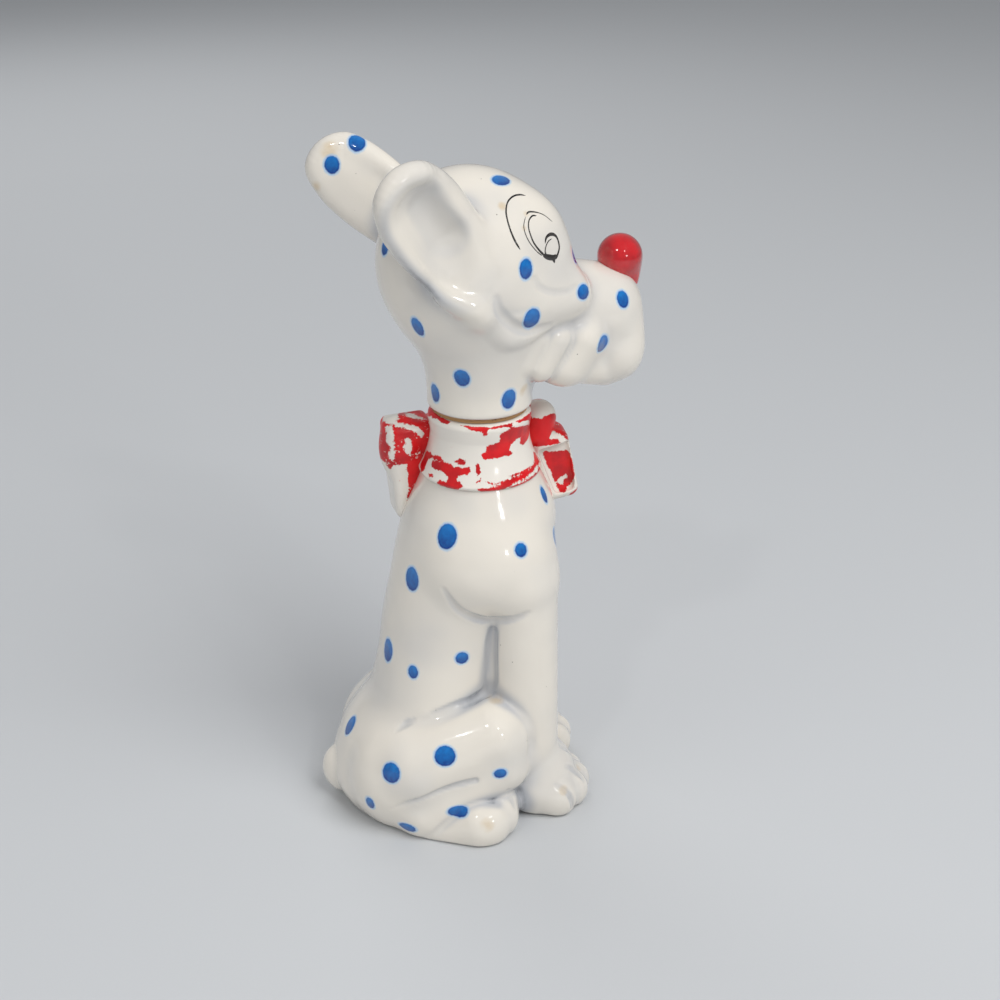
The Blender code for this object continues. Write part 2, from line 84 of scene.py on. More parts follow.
class Wire:
    """An output of a shader graph. Sums and products of wires add their nodes to the graph."""

    def __init__(self, graph: "Graph", socket: bpy.types.NodeSocket) -> None:
        """Keeps the graph and the socket that the wire leaves."""
        self.graph = graph
        self.socket = socket

    def _join(self, operation: str, first: object, second: object) -> "Wire":
        """Adds the maths node of two operands.

        Args:
            operation: The node's operation.
            first: A wire or a number.
            second: A wire or a number.

        Returns:
            The wire of the result.
        """
        plain = self.socket.type == "VALUE"
        kind = "ShaderNodeMath" if plain else "ShaderNodeVectorMath"
        return self.graph.node(kind, {"operation": operation}, {0: first, 1: second})

    def __add__(self, other: object) -> "Wire":
        """Sum."""
        return self._join("ADD", self, other)

    __radd__ = __add__

    def __sub__(self, other: object) -> "Wire":
        """Difference."""
        return self._join("SUBTRACT", self, other)

    def __rsub__(self, other: object) -> "Wire":
        """Difference from a number."""
        return self._join("SUBTRACT", other, self)

    def __mul__(self, other: object) -> "Wire":
        """Product."""
        return self._join("MULTIPLY", self, other)

    __rmul__ = __mul__

    def above(self, low: float, high: float) -> "Wire":
        """Rises smoothly from 0 at low to 1 at high.

        Args:
            low: Where it starts.
            high: Where it ends; it may be the lower of the two.

        Returns:
            The share, from 0 to 1.
        """
        settings = {"interpolation_type": "SMOOTHSTEP"}
        if low < high:
            return self.graph.node("ShaderNodeMapRange", settings, {0: self, 1: low, 2: high, 3: 0.0, 4: 1.0})
        return self.graph.node("ShaderNodeMapRange", settings, {0: self, 1: high, 2: low, 3: 1.0, 4: 0.0})

    def clamp(self) -> "Wire":
        """Holds a value between 0 and 1."""
        return self.graph.node("ShaderNodeClamp", {}, {0: self, 1: 0.0, 2: 1.0})


class Graph:
    """The node graph of one material round its Principled shader."""

    def __init__(self, name: str) -> None:
        """Starts a material.

        Args:
            name: Its name.
        """
        self.material = bpy.data.materials.new(name)
        self.material.use_nodes = True
        self.tree = self.material.node_tree
        self.shader = self.tree.nodes["Principled BSDF"]
        self.place = self.node("ShaderNodeTexCoord", {}, {}, "Object")

    def node(self, kind: str, settings: dict, inputs: dict, output: object = 0) -> Wire:
        """Adds any node.

        Args:
            kind: The node's type.
            settings: Its own settings, set first.
            inputs: The values or wires of its sockets, by name or place.
            output: The socket to return, by name or place.

        Returns:
            The wire of that output.
        """
        made = self.tree.nodes.new(kind)
        for key, value in settings.items():
            setattr(made, key, value)
        self.feed(made, inputs)
        return Wire(self, made.outputs[output])

    def feed(self, node: bpy.types.Node, inputs: dict) -> None:
        """Sets or links the sockets of a node.

        Args:
            node: The node.
            inputs: The values or wires of its sockets, by name or place.
        """
        for key, value in inputs.items():
            if isinstance(value, Wire):
                self.tree.links.new(value.socket, node.inputs[key])
            else:
                node.inputs[key].default_value = value

    def mix(self, share: object, first: object, second: object) -> Wire:
        """Blends two colours.

        Args:
            share: How much of the second, as a wire or a number.
            first: A colour or its wire.
            second: A colour or its wire.

        Returns:
            The colour's wire.
        """
        return self.node("ShaderNodeMix", {"data_type": "RGBA"}, {0: share, 6: first, 7: second}, 2)

    def noise(self, size: float, detail: float = 2.0, stretch: tuple = (1, 1, 1), rough: float = 0.5) -> Wire:
        """Soft noise over the piece.

        Args:
            size: The size of its features in millimetres.
            detail: How many finer layers it has.
            stretch: Its scale along each axis.
            rough: How strong the finer layers are.

        Returns:
            The value, about 0.5 in the middle.
        """
        spot = self.place * stretch if stretch != (1, 1, 1) else self.place
        inputs = {"Vector": spot, "Scale": 1000 / size, "Detail": detail, "Roughness": rough}
        return self.node("ShaderNodeTexNoise", {}, inputs, "Fac")

    def grains(self, scale: float, output: str) -> Wire:
        """Scattered grains: how far each point is from the middle of its grain, or the grain's own colour.

        Args:
            scale: How many grains there are along a metre.
            output: "Distance" or "Color".

        Returns:
            The distance's or the colour's wire.
        """
        inputs = {"Vector": self.place, "Scale": scale}
        return self.node("ShaderNodeTexVoronoi", {"feature": "F1"}, inputs, output)

    def painted(self, name: str) -> Wire:
        """A value kept at the vertices of the mesh."""
        return self.node("ShaderNodeAttribute", {"attribute_name": name}, {}, "Fac")

    def bump(self, height: Wire, depth: float, strength: float = 1.0, under: object = None) -> Wire:
        """Raises the surface a little by a height.

        Args:
            height: The height's wire, 0 to 1.
            depth: What a height of 1 stands for, in millimetres.
            strength: How much of it shows.
            under: A bump wire below this one.

        Returns:
            The normal's wire.
        """
        inputs = {"Strength": strength, "Distance": depth * MM, "Height": height}
        if under is not None:
            inputs["Normal"] = under
        return self.node("ShaderNodeBump", {}, inputs, "Normal")

    def finish(self, **inputs: object) -> bpy.types.Material:
        """Feeds the shader, with underscores for the spaces in its sockets' names.

        Args:
            **inputs: The values or wires.

        Returns:
            The material.
        """
        self.feed(self.shader, {key.replace("_", " "): value for key, value in inputs.items()})
        return self.material


# Finishes


@dataclass(frozen=True)
class SpottedGlaze:
    """Clear glaze over a warm white body, with blue dots under it that pooled at their lower edges, and shade
    painted into its hollows and creases.
    """

    name: str = "spotted_glaze"
    white: tuple = tint(236, 229, 217)
    shade: tuple = tint(172, 177, 186)
    crease_shadow: tuple = tint(96, 98, 104)
    stain: tuple = tint(214, 190, 150)
    halo: tuple = tint(150, 196, 236)
    dot_light: tuple = tint(6, 124, 204)
    dot_dark: tuple = tint(0, 61, 139)
    speck: tuple = tint(92, 78, 66)

    def material(self) -> bpy.types.Material:
        """Builds the material.

        Returns:
            The material.
        """
        g = Graph(self.name)
        # Random greyer tone over the white, towards the same grey that the painted shade uses.
        drift = g.noise(38, 2)
        body = g.mix(drift.above(0.42, 0.72) * 0.25, self.white, self.shade)
        crease = g.painted("crease")
        # Painted shade: the white greys deep in hollows and creases.
        body = g.mix(g.painted("hollow").above(0.0, 1.0) * 0.6, body, self.shade)
        body = g.mix(crease.above(0.05, 0.8) * 0.5, body, self.shade)
        # Painted shadow: a dark grey line along the bottom of deep creases.
        body = g.mix((crease + (g.noise(2.2, 2) - 0.5) * 0.3).above(0.5, 1.1) * 0.8, body, self.crease_shadow)
        body = g.mix((g.painted("stain") * g.noise(5, 4)).above(0.12, 0.7) * 0.75, body, self.stain)
        specks = g.grains(150.0, "Distance")
        chosen = g.noise(6.5, 0).above(0.55, 0.62)
        speck = specks.above(0.045, 0.02) * chosen
        body = g.mix(speck * 0.75, body, self.speck)
        edge = g.painted("dot_edge") + (g.noise(1.1, 3) - 0.5) * 0.55
        body = g.mix(edge.above(1.1, 0.1) * 0.75, body, self.halo)
        pooled = (g.painted("dot_rise") * -0.42 + (g.noise(1.6, 3) - 0.5) * 0.9 + 0.5).clamp()
        rim = g.painted("dot_edge").above(-0.9, -0.1) * 0.25
        blue = g.mix((pooled + rim).clamp(), self.dot_light, self.dot_dark)
        body = g.mix(edge.above(0.28, -0.22), body, blue)
        pit = g.grains(420.0, "Distance").above(0.0, 0.16)
        normal = g.bump(g.noise(16, 1), 0.55)
        normal = g.bump(g.noise(2.6, 2), 0.018, 1.0, normal)
        normal = g.bump(pit, 0.03, 0.35, normal)
        rough = 0.07 + g.noise(9, 3) * 0.08 + crease.above(0.3, 1.0) * 0.25
        return g.finish(Base_Color=body, Roughness=rough, Normal=normal, IOR=1.5, Coat_Weight=0.6,
                        Coat_Roughness=0.04)


@dataclass(frozen=True)
class WornPaint:
    """Red cold paint over white glaze, flaked and rubbed off in patches, with shade painted into its creases.
    """

    name: str = "worn_paint"
    white: tuple = tint(236, 230, 220)
    film: tuple = tint(226, 178, 172)
    red: tuple = tint(224, 6, 16)
    dark_red: tuple = tint(186, 6, 16)
    crease_shade: tuple = tint(120, 104, 96)

    def material(self) -> bpy.types.Material:
        """Builds the material.

        Returns:
            The material.
        """
        g = Graph(self.name)
        paint = g.painted("paint")
        flake = (g.noise(3.0, 5, rough=0.65) - 0.5) * 1.1 + (g.noise(0.8, 4, rough=0.7) - 0.5) * 1.1
        cover = paint + flake
        kept = cover.above(0.46, 0.54)
        film = cover.above(0.22, 0.5) * g.noise(0.9, 3).above(0.45, 0.7)
        # Painted shade: the bare white darkens towards a warm grey in creases.
        white = g.mix(g.painted("crease").above(0.2, 1.0) * 0.7, self.white, self.crease_shade)
        white = g.mix(film * 0.45, white, self.film)
        red = g.mix(g.noise(7, 3).above(0.35, 0.7), self.red, self.dark_red)
        colour = g.mix(kept, white, red)
        normal = g.bump(g.noise(12, 1), 0.4)
        normal = g.bump(kept, 0.06, 1.0, normal)
        rough = 0.14 + kept * 0.16 + g.noise(3, 3) * 0.1
        return g.finish(Base_Color=colour, Roughness=rough, Normal=normal, Coat_Weight=0.12,
                        Coat_Roughness=0.12)


@dataclass(frozen=True)
class RedGloss:
    """Glossy red of the ball nose, rubbed pale in small spots."""

    name: str = "nose_gloss"
    red: tuple = tint(205, 18, 28)
    deep: tuple = tint(150, 6, 18)
    rubbed: tuple = tint(226, 108, 104)

    def material(self) -> bpy.types.Material:
        """Builds the material.

        Returns:
            The material.
        """
        g = Graph(self.name)
        colour = g.mix(g.noise(6, 2).above(0.35, 0.7) * 0.6, self.red, self.deep)
        colour = g.mix(g.noise(2.2, 5).above(0.66, 0.74) * 0.6, colour, self.rubbed)
        normal = g.bump(g.noise(7, 1), 0.25)
        rough = 0.1 + g.noise(2, 2) * 0.1
        return g.finish(Base_Color=colour, Roughness=rough, Normal=normal, Coat_Weight=0.9,
                        Coat_Roughness=0.04)


@dataclass(frozen=True)
class BlackLine:
    """Black glaze paint of the eye lines."""

    name: str = "eye_paint"
    black: tuple = tint(44, 41, 40)
    thin: tuple = tint(92, 84, 74)

    def material(self) -> bpy.types.Material:
        """Builds the material.

        Returns:
            The material.
        """
        g = Graph(self.name)
        colour = g.mix(g.noise(1.6, 3).above(0.5, 0.8) * 0.7, self.black, self.thin)
        rough = 0.16 + g.noise(2, 2) * 0.1
        return g.finish(Base_Color=colour, Roughness=rough, Coat_Weight=0.6, Coat_Roughness=0.05)


@dataclass(frozen=True)
class Cork:
    """Ground cork with its dark grains and pores."""

    name: str = "cork_grain"
    pale: tuple = tint(176, 136, 92)
    brown: tuple = tint(122, 84, 52)
    pore: tuple = tint(74, 48, 30)

    def material(self) -> bpy.types.Material:
        """Builds the material.

        Returns:
            The material.
        """
        g = Graph(self.name)
        grain = g.grains(700.0, "Color")
        colour = g.mix((grain * (1.0, 0.0, 0.0)).above(0.2, 0.8), self.pale, self.brown)
        pores = g.noise(1.3, 4, (1, 1, 0.6)).above(0.6, 0.68)
        colour = g.mix(pores * 0.8, colour, self.pore)
        normal = g.bump(1 - pores, 0.25, 0.8)
        return g.finish(Base_Color=colour, Roughness=0.8 + g.noise(2, 2) * 0.15, Normal=normal)


# Forms


class Lump(ABC):
    """A solid form, in millimetres, that joins others with a rounded blend."""

    blend: float

    @abstractmethod
    def distance(self, points: np.ndarray) -> np.ndarray:
        """How far each point is outside the form.

        Args:
            points: The points, one a row.

        Returns:
            The distances; below 0 is inside.
        """


@dataclass(frozen=True)
class Ball(Lump):
    """An ellipsoid turned about X, Y and Z."""

    centre: tuple
    radii: tuple
    blend: float = 5.0
    turn: tuple = (0, 0, 0)

    def distance(self, points: np.ndarray) -> np.ndarray:
        """How far each point is outside the ellipsoid.

        Args:
            points: The points, one a row.

        Returns:
            The distances; below 0 is inside.
        """
        matrix = np.array(Euler([radians(a) for a in self.turn]).to_matrix())
        local = (points - np.array(self.centre)) @ matrix
        radii = np.array(self.radii)
        reach = np.linalg.norm(local / radii, axis=1)
        slope = np.linalg.norm(local / radii**2, axis=1) + 1e-9
        return reach * (reach - 1) / slope


@dataclass(frozen=True)
class Bar(Lump):
    """A tapered round bar, flattened along one direction."""

    start: tuple
    end: tuple
    start_radius: float
    end_radius: float
    blend: float = 5.0
    flatness: float = 1.0
    side: tuple = (0, 1, 0)

    def distance(self, points: np.ndarray) -> np.ndarray:
        """How far each point is outside the bar.

        Args:
            points: The points, one a row.

        Returns:
            The distances; below 0 is inside.
        """
        start = np.array(self.start, dtype=float)
        along = np.array(self.end, dtype=float) - start
        length = np.linalg.norm(along)
        axis = along / length
        slope = (self.end_radius - self.start_radius) / length
        side = np.array(Vector(self.side).normalized())
        away = points - start
        rise = away @ axis
        off = away - rise[:, None] * axis
        off = off + (off @ side)[:, None] * side * (1 / self.flatness - 1)
        beside = np.linalg.norm(off, axis=1)
        spot = np.clip(rise + beside * slope / sqrt(1 - slope**2), 0, length)
        return np.hypot(beside, rise - spot) - self.start_radius - slope * spot


@dataclass(frozen=True)
class Rope(Lump):
    """A soft roll along a smooth path of (x, y, z, radius).

    Its distance is only worked out within ROPE_REACH of the path.
    """

    path: tuple
    blend: float = 3.0

    def distance(self, points: np.ndarray) -> np.ndarray:
        """How far each point is outside the roll.

        Args:
            points: The points, one a row.

        Returns:
            The distances; below 0 is inside.
        """
        spots = smooth_path(np.array(self.path, dtype=float), 4)
        low = spots[:, :3].min(axis=0) - ROPE_REACH
        high = spots[:, :3].max(axis=0) + ROPE_REACH
        close = ((points > low) & (points < high)).all(axis=1)
        reach = np.full(len(points), FAR)
        if not close.any():
            return reach
        chosen = points[close]
        best = np.full(len(chosen), FAR)
        for first, second in zip(spots, spots[1:]):
            along = second[:3] - first[:3]
            away = chosen - first[:3]
            share = np.clip(away @ along / max(along @ along, 1e-9), 0, 1)
            off = np.linalg.norm(away - share[:, None] * along, axis=1)
            best = np.minimum(best, off - first[3] - (second[3] - first[3]) * share)
        reach[close] = best
        return reach


@dataclass(frozen=True)
class Slab(Lump):
    """A rounded box that may narrow towards its foot."""

    centre: tuple
    half: tuple
    rounding: float
    blend: float = 3.0
    turn: tuple = (0, 0, 0)
    taper: tuple = (0, 0)

    def distance(self, points: np.ndarray) -> np.ndarray:
        """How far each point is outside the box.

        Args:
            points: The points, one a row.

        Returns:
            The distances; below 0 is inside.
        """
        matrix = np.array(Euler([radians(a) for a in self.turn]).to_matrix())
        local = (points - np.array(self.centre)) @ matrix
        rise = np.clip(local[:, 2] / self.half[2], -1.2, 1.2)
        half = np.array(self.half) - self.rounding
        wide = half[0] + self.taper[0] * rise
        deep = half[1] + self.taper[1] * rise
        off = np.abs(local) - np.column_stack([wide, deep, np.full(len(local), half[2])])
        outside = np.linalg.norm(np.maximum(off, 0), axis=1)
        return outside + np.minimum(off.max(axis=1), 0) - self.rounding


@dataclass(frozen=True)
class Trunk(Lump):
    """An upright trunk through ovals of (height, middle x, half depth, half width)."""

    sections: tuple
    blend: float = 5.0

    def distance(self, points: np.ndarray) -> np.ndarray:
        """How far each point is outside the trunk.

        Args:
            points: The points, one a row.

        Returns:
            The distances; below 0 is inside.
        """
        rows = np.array(self.sections, dtype=float)
        middle, depth, width = (smooth_curve(points[:, 2], rows[:, 0], rows[:, k]) for k in (1, 2, 3))
        reach = np.hypot((points[:, 0] - middle) / depth, points[:, 1] / width)
        ends = np.maximum(points[:, 2] - rows[-1, 0], rows[0, 0] - points[:, 2])
        return np.maximum((reach - 1) * np.minimum(depth, width), ends)


@dataclass(frozen=True)
class Cut(Lump):
    """All that is below a height, or above it, and beyond a radius. It is only carved."""

    height: float
    blend: float = 1.5
    above: bool = False
    beyond: float = -FAR

    def distance(self, points: np.ndarray) -> np.ndarray:
        """How far each point is outside the cut.

        Args:
            points: The points, one a row.

        Returns:
            The distances; below 0 is inside.
        """
        level = self.height - points[:, 2] if self.above else points[:, 2] - self.height
        return np.maximum(level, self.beyond - np.hypot(points[:, 0], points[:, 1]))


def smooth_curve(x: np.ndarray, knots: np.ndarray, values: np.ndarray) -> np.ndarray:
    """Reads a curve that passes smoothly through the values at the knots.

    Args:
        x: Where to read it.
        knots: Where the values are known, rising.
        values: The known values.

    Returns:
        The values at x.
    """
    slopes = np.gradient(values, knots)
    k = np.clip(np.searchsorted(knots, x) - 1, 0, len(knots) - 2)
    width = knots[k + 1] - knots[k]
    t = np.clip((x - knots[k]) / width, 0, 1)
    rise = 3 * t**2 - 2 * t**3
    lead_in = width * slopes[k] * (t**3 - 2 * t**2 + t)
    lead_out = width * slopes[k + 1] * (t**3 - t**2)
    return values[k] * (1 - rise) + values[k + 1] * rise + lead_in + lead_out


def smooth_path(spots: np.ndarray, steps: int) -> np.ndarray:
    """Rounds a row of points into a smooth path.

    Args:
        spots: The points, one a row.
        steps: How many steps to make of each span.

    Returns:
        The points of the path.
    """
    knots = np.arange(len(spots), dtype=float)
    x = np.linspace(0, len(spots) - 1, (len(spots) - 1) * steps + 1)
    return np.column_stack([smooth_curve(x, knots, spots[:, k]) for k in range(spots.shape[1])])


def soft_union(first: np.ndarray, second: np.ndarray, blend: float) -> np.ndarray:
    """The lower of two distances, rounded where they are nearly equal."""
    near = np.maximum(blend - np.abs(first - second), 0) / blend
    return np.minimum(first, second) - near**2 * blend / 4


@dataclass(frozen=True)
class Form:
    """A body of lumps blended in order, less what is carved out of it.

    What is paired or scored is on both sides of the dog.
    """

    low: tuple
    high: tuple
    paired: tuple = ()
    single: tuple = ()
    carved: tuple = ()
    scored: tuple = ()

    def distance(self, points: np.ndarray) -> np.ndarray:
        """How far each point is outside the body.

        Args:
            points: The points, one a row, in millimetres.

        Returns:
            The distances; below 0 is inside.
        """
        folded = np.column_stack([points[:, 0], np.abs(points[:, 1]), points[:, 2]])
        value = np.full(len(points), FAR)
        for spots, lumps in ((folded, self.paired), (points, self.single)):
            for lump in lumps:
                value = soft_union(value, lump.distance(spots), lump.blend)
        for spots, hollows in ((folded, self.scored), (points, self.carved)):
            for hollow in hollows:
                value = -soft_union(-value, hollow.distance(spots), hollow.blend)
        return value

    def slope(self, points: np.ndarray, step: float = 0.05) -> np.ndarray:
        """Works out the gradient of the distance.

        Args:
            points: The points, one a row.
            step: How far to either side of each point it is measured.

        Returns:
            The gradient at each point.
        """
        return np.column_stack([
            (self.distance(points + shift) - self.distance(points - shift)) / (2 * step)
            for shift in np.eye(3) * step
        ])

    def normals(self, points: np.ndarray) -> np.ndarray:
        """The outward unit normal at each point."""
        slope = self.slope(points)
        return slope / (np.linalg.norm(slope, axis=1) + 1e-9)[:, None]

    def settle(self, points: np.ndarray, rounds: int = 4) -> np.ndarray:
        """Moves points on to the body's surface.

        Args:
            points: Points near it.
            rounds: How many times they are moved.

        Returns:
            The moved points.
        """
        for _ in range(rounds):
            slope = self.slope(points)
            move = self.distance(points) / np.maximum((slope**2).sum(axis=1), 0.1)
            points = points - np.clip(move, -1.0, 1.0)[:, None] * slope
        return points

    def lattice(self, cell: float) -> tuple[np.ndarray, np.ndarray]:
        """Reads the distance on a lattice, finely only near the surface.

        Args:
            cell: The lattice's pitch in millimetres.

        Returns:
            The lowest corner and the distances.
        """
        low = np.array(self.low, dtype=float)
        wide = COARSE * cell
        counts = np.ceil((np.array(self.high) - low) / wide).astype(int) + 1
        axes = [low[k] + wide * np.arange(counts[k]) for k in range(3)]
        rough = self.distance(np.stack(np.meshgrid(*axes, indexing="ij"), -1).reshape(-1, 3)).reshape(counts)
        fine = (counts - 1) * COARSE + 1
        nearest = np.ix_(*[np.minimum((np.arange(n) + COARSE // 2) // COARSE, counts[k] - 1)
                           for k, n in enumerate(fine)])
        values = rough[nearest].copy()
        spots = np.argwhere(np.abs(values) < NEAR_BAND * wide)
        values[tuple(spots.T)] = self.distance(low + cell * spots)
        return low, values

    def surface(self, cell: float) -> tuple[np.ndarray, np.ndarray]:
        """Skins the body with even four-sided faces.

        Args:
            cell: The size of a face in millimetres.

        Returns:
            The points and the faces.
        """
        low, values = self.lattice(cell)
        inside = values < 0
        shape = tuple(n - 1 for n in values.shape)
        corners = [(a, b, c) for a in (0, 1) for b in (0, 1) for c in (0, 1)]

        def shifted(array: np.ndarray, corner: tuple) -> np.ndarray:
            """The lattice as seen from one corner of every cell."""
            return array[tuple(slice(c, c + n) for c, n in zip(corner, shape))]

        count = sum(shifted(inside, corner).astype(int) for corner in corners)
        cells = np.argwhere((count > 0) & (count < 8))
        total = np.zeros((len(cells), 3))
        crossings = np.zeros(len(cells))
        for first in corners:
            for axis in range(3):
                if first[axis]:
                    continue
                second = tuple(c + (k == axis) for k, c in enumerate(first))
                start = values[tuple((cells + first).T)]
                stop = values[tuple((cells + second).T)]
                cross = (start < 0) != (stop < 0)
                share = np.where(cross, start / np.where(cross, start - stop, 1), 0)
                spot = np.array(first, dtype=float) + share[:, None] * np.eye(3)[axis]
                total += spot * cross[:, None]
                crossings += cross
        points = low + cell * (cells + total / crossings[:, None])
        number = np.full(shape, -1)
        number[tuple(cells.T)] = np.arange(len(cells))
        faces = []
        for axis in range(3):
            ahead = [slice(None)] * 3
            behind = [slice(None)] * 3
            ahead[axis] = slice(1, None)
            behind[axis] = slice(None, -1)
            one, two = inside[tuple(behind)], inside[tuple(ahead)]
            u, w = (axis + 1) % 3, (axis + 2) % 3
            for flip, mask in ((False, one & ~two), (True, two & ~one)):
                spots = np.argwhere(mask)
                ring = []
                for du, dw in ((-1, -1), (0, -1), (0, 0), (-1, 0)):
                    spot = spots.copy()
                    spot[:, u] += du
                    spot[:, w] += dw
                    ring.append(number[tuple(spot.T)])
                ring = np.stack(ring, 1)
                faces.append(ring[:, ::-1] if flip else ring)
        return points, np.concatenate(faces)


# Meshes


@dataclass(frozen=True)
class Place:
    """Where a form stands: turned about Z and raised."""

    turn: float = 0.0
    height: float = 0.0

    def world(self, points: np.ndarray) -> np.ndarray:
        """Takes points of the form to the decanter's frame, in millimetres."""
        return self.turned(points) + np.array((0, 0, self.height))

    def turned(self, vectors: np.ndarray) -> np.ndarray:
        """Turns directions of the form into the decanter's frame."""
        return vectors @ np.array(Matrix.Rotation(radians(self.turn), 3, "Z")).T


STANDING = Place()
ON_SEAT = Place(HEAD_TURN, HEAD_SEAT)


@dataclass
class Piece:
    """A named piece of the dressed decanter, from its points to its place on a CAD body."""

    name: str
    points: np.ndarray
    faces: list
    place: Place = STANDING
    normals: np.ndarray | None = None
    values: dict = field(default_factory=dict)

    def make(self, finish: bpy.types.Material) -> bpy.types.Object:
        """Puts the piece into the scene.

        Args:
            finish: Its material.

        Returns:
            The object.
        """
        mesh = bpy.data.meshes.new(self.name)
        mesh.from_pydata(self.place.world(self.points) * MM, [], self.faces)
        mesh.update()
        mesh.shade_smooth()
        if self.normals is not None:
            mesh.normals_split_custom_set_from_vertices(self.place.turned(self.normals))
        else:
            mesh.set_sharp_from_angle(angle=radians(SHARP_ANGLE))
        for name, value in self.values.items():
            mesh.attributes.new(name, "FLOAT", "POINT").data.foreach_set("value", value.astype(np.float32))
        mesh.materials.append(finish)
        thing = bpy.data.objects.new(self.name, mesh)
        bpy.context.scene.collection.objects.link(thing)
        log.info("%s: %d points", self.name, len(self.points))
        return thing


@dataclass(frozen=True)
class Dot:
    """A blue dot: its middle on the casting and its half width and half height, in millimetres."""

    middle: tuple
    half_width: float
    half_height: float


def dotted(form: Form, points: np.ndarray, dots: tuple) -> dict:
    """Measures how far each point is from the nearest dot.

    Args:
        form: The body that carries the dots.
        points: The points of its skin.
        dots: The dots.

    Returns:
        The distance to the nearest dot's edge, and how high in that dot the point is.
    """
    edge = np.full(len(points), DOT_FAR)
    rise = np.zeros(len(points))
    middles = form.settle(np.array([dot.middle for dot in dots], dtype=float), 3)
    for dot, middle, normal in zip(dots, middles, form.normals(middles)):
        across = np.cross((0, 0, 1), normal)
        across = across / (np.linalg.norm(across) + 1e-9)
        upward = np.cross(normal, across)
        away = points - middle
        u = away @ across / dot.half_width
        v = away @ upward / dot.half_height
        deep = away @ normal / DOT_DEPTH
        reach = (np.sqrt(u**2 + v**2 + deep**2) - 1) * (dot.half_width + dot.half_height) / 2
        nearer = reach < edge
        edge = np.where(nearer, reach, edge)
        rise = np.where(nearer, np.clip(v, -1.2, 1.2), rise)
    return {"dot_edge": edge, "dot_rise": rise}


def creases(form: Form, points: np.ndarray, normals: np.ndarray, reach: float = CREASE_REACH) -> np.ndarray:
    """Tells how deep in a crease each point lies, from 0 on an open face to about 1.

    Args:
        form: The body.
        points: The points of its skin.
        normals: Their normals.
        reach: How far off the skin to look, in millimetres.

    Returns:
        The depth in a crease.
    """
    missing = reach - form.distance(points + normals * reach)
    return np.clip(missing / reach * CREASE_GAIN, 0, 1)


def cell_size(fine: float = FINE_CELL) -> float:
    return fine


def lathe(profile: list, steps: int, fineness: float = 0.8) -> tuple[np.ndarray, list]:
    """Turns a closed outline about Z.

    Args:
        profile: The (radius, height) points of the outline.
        steps: How many steps make the turn.
        fineness: The longest step along the outline, in millimetres.

    Returns:
        The points and the faces.
    """
    ring = []
    for first, second in zip(profile, profile[1:] + profile[:1]):
        first, second = np.array(first, dtype=float), np.array(second, dtype=float)
        count = max(1, int(np.ceil(np.linalg.norm(second - first) / fineness)))
        ring += [first + (second - first) * k / count for k in range(count)]
    ring = np.array(ring)
    angles = np.linspace(0, 2 * pi, steps, endpoint=False)
    points = np.stack([np.outer(np.cos(angles), ring[:, 0]), np.outer(np.sin(angles), ring[:, 0]),
                       np.tile(ring[:, 1], (steps, 1))], -1).reshape(-1, 3)
    n = len(ring)
    faces = [(a * n + k, b * n + k, b * n + (k + 1) % n, a * n + (k + 1) % n)
             for a, b in ((s, (s + 1) % steps) for s in range(steps)) for k in range(n)]
    return points, faces


# Sub-assemblies


def toe(x: float, y: float, radius: float, length: float, height: float, lift: float = 2.4) -> Ball:
    """One rounded toe, its middle just over half its height above the lift."""
    return Ball((x, y, 0.55 * height + lift), (radius + length, radius, height), blend=2.4)


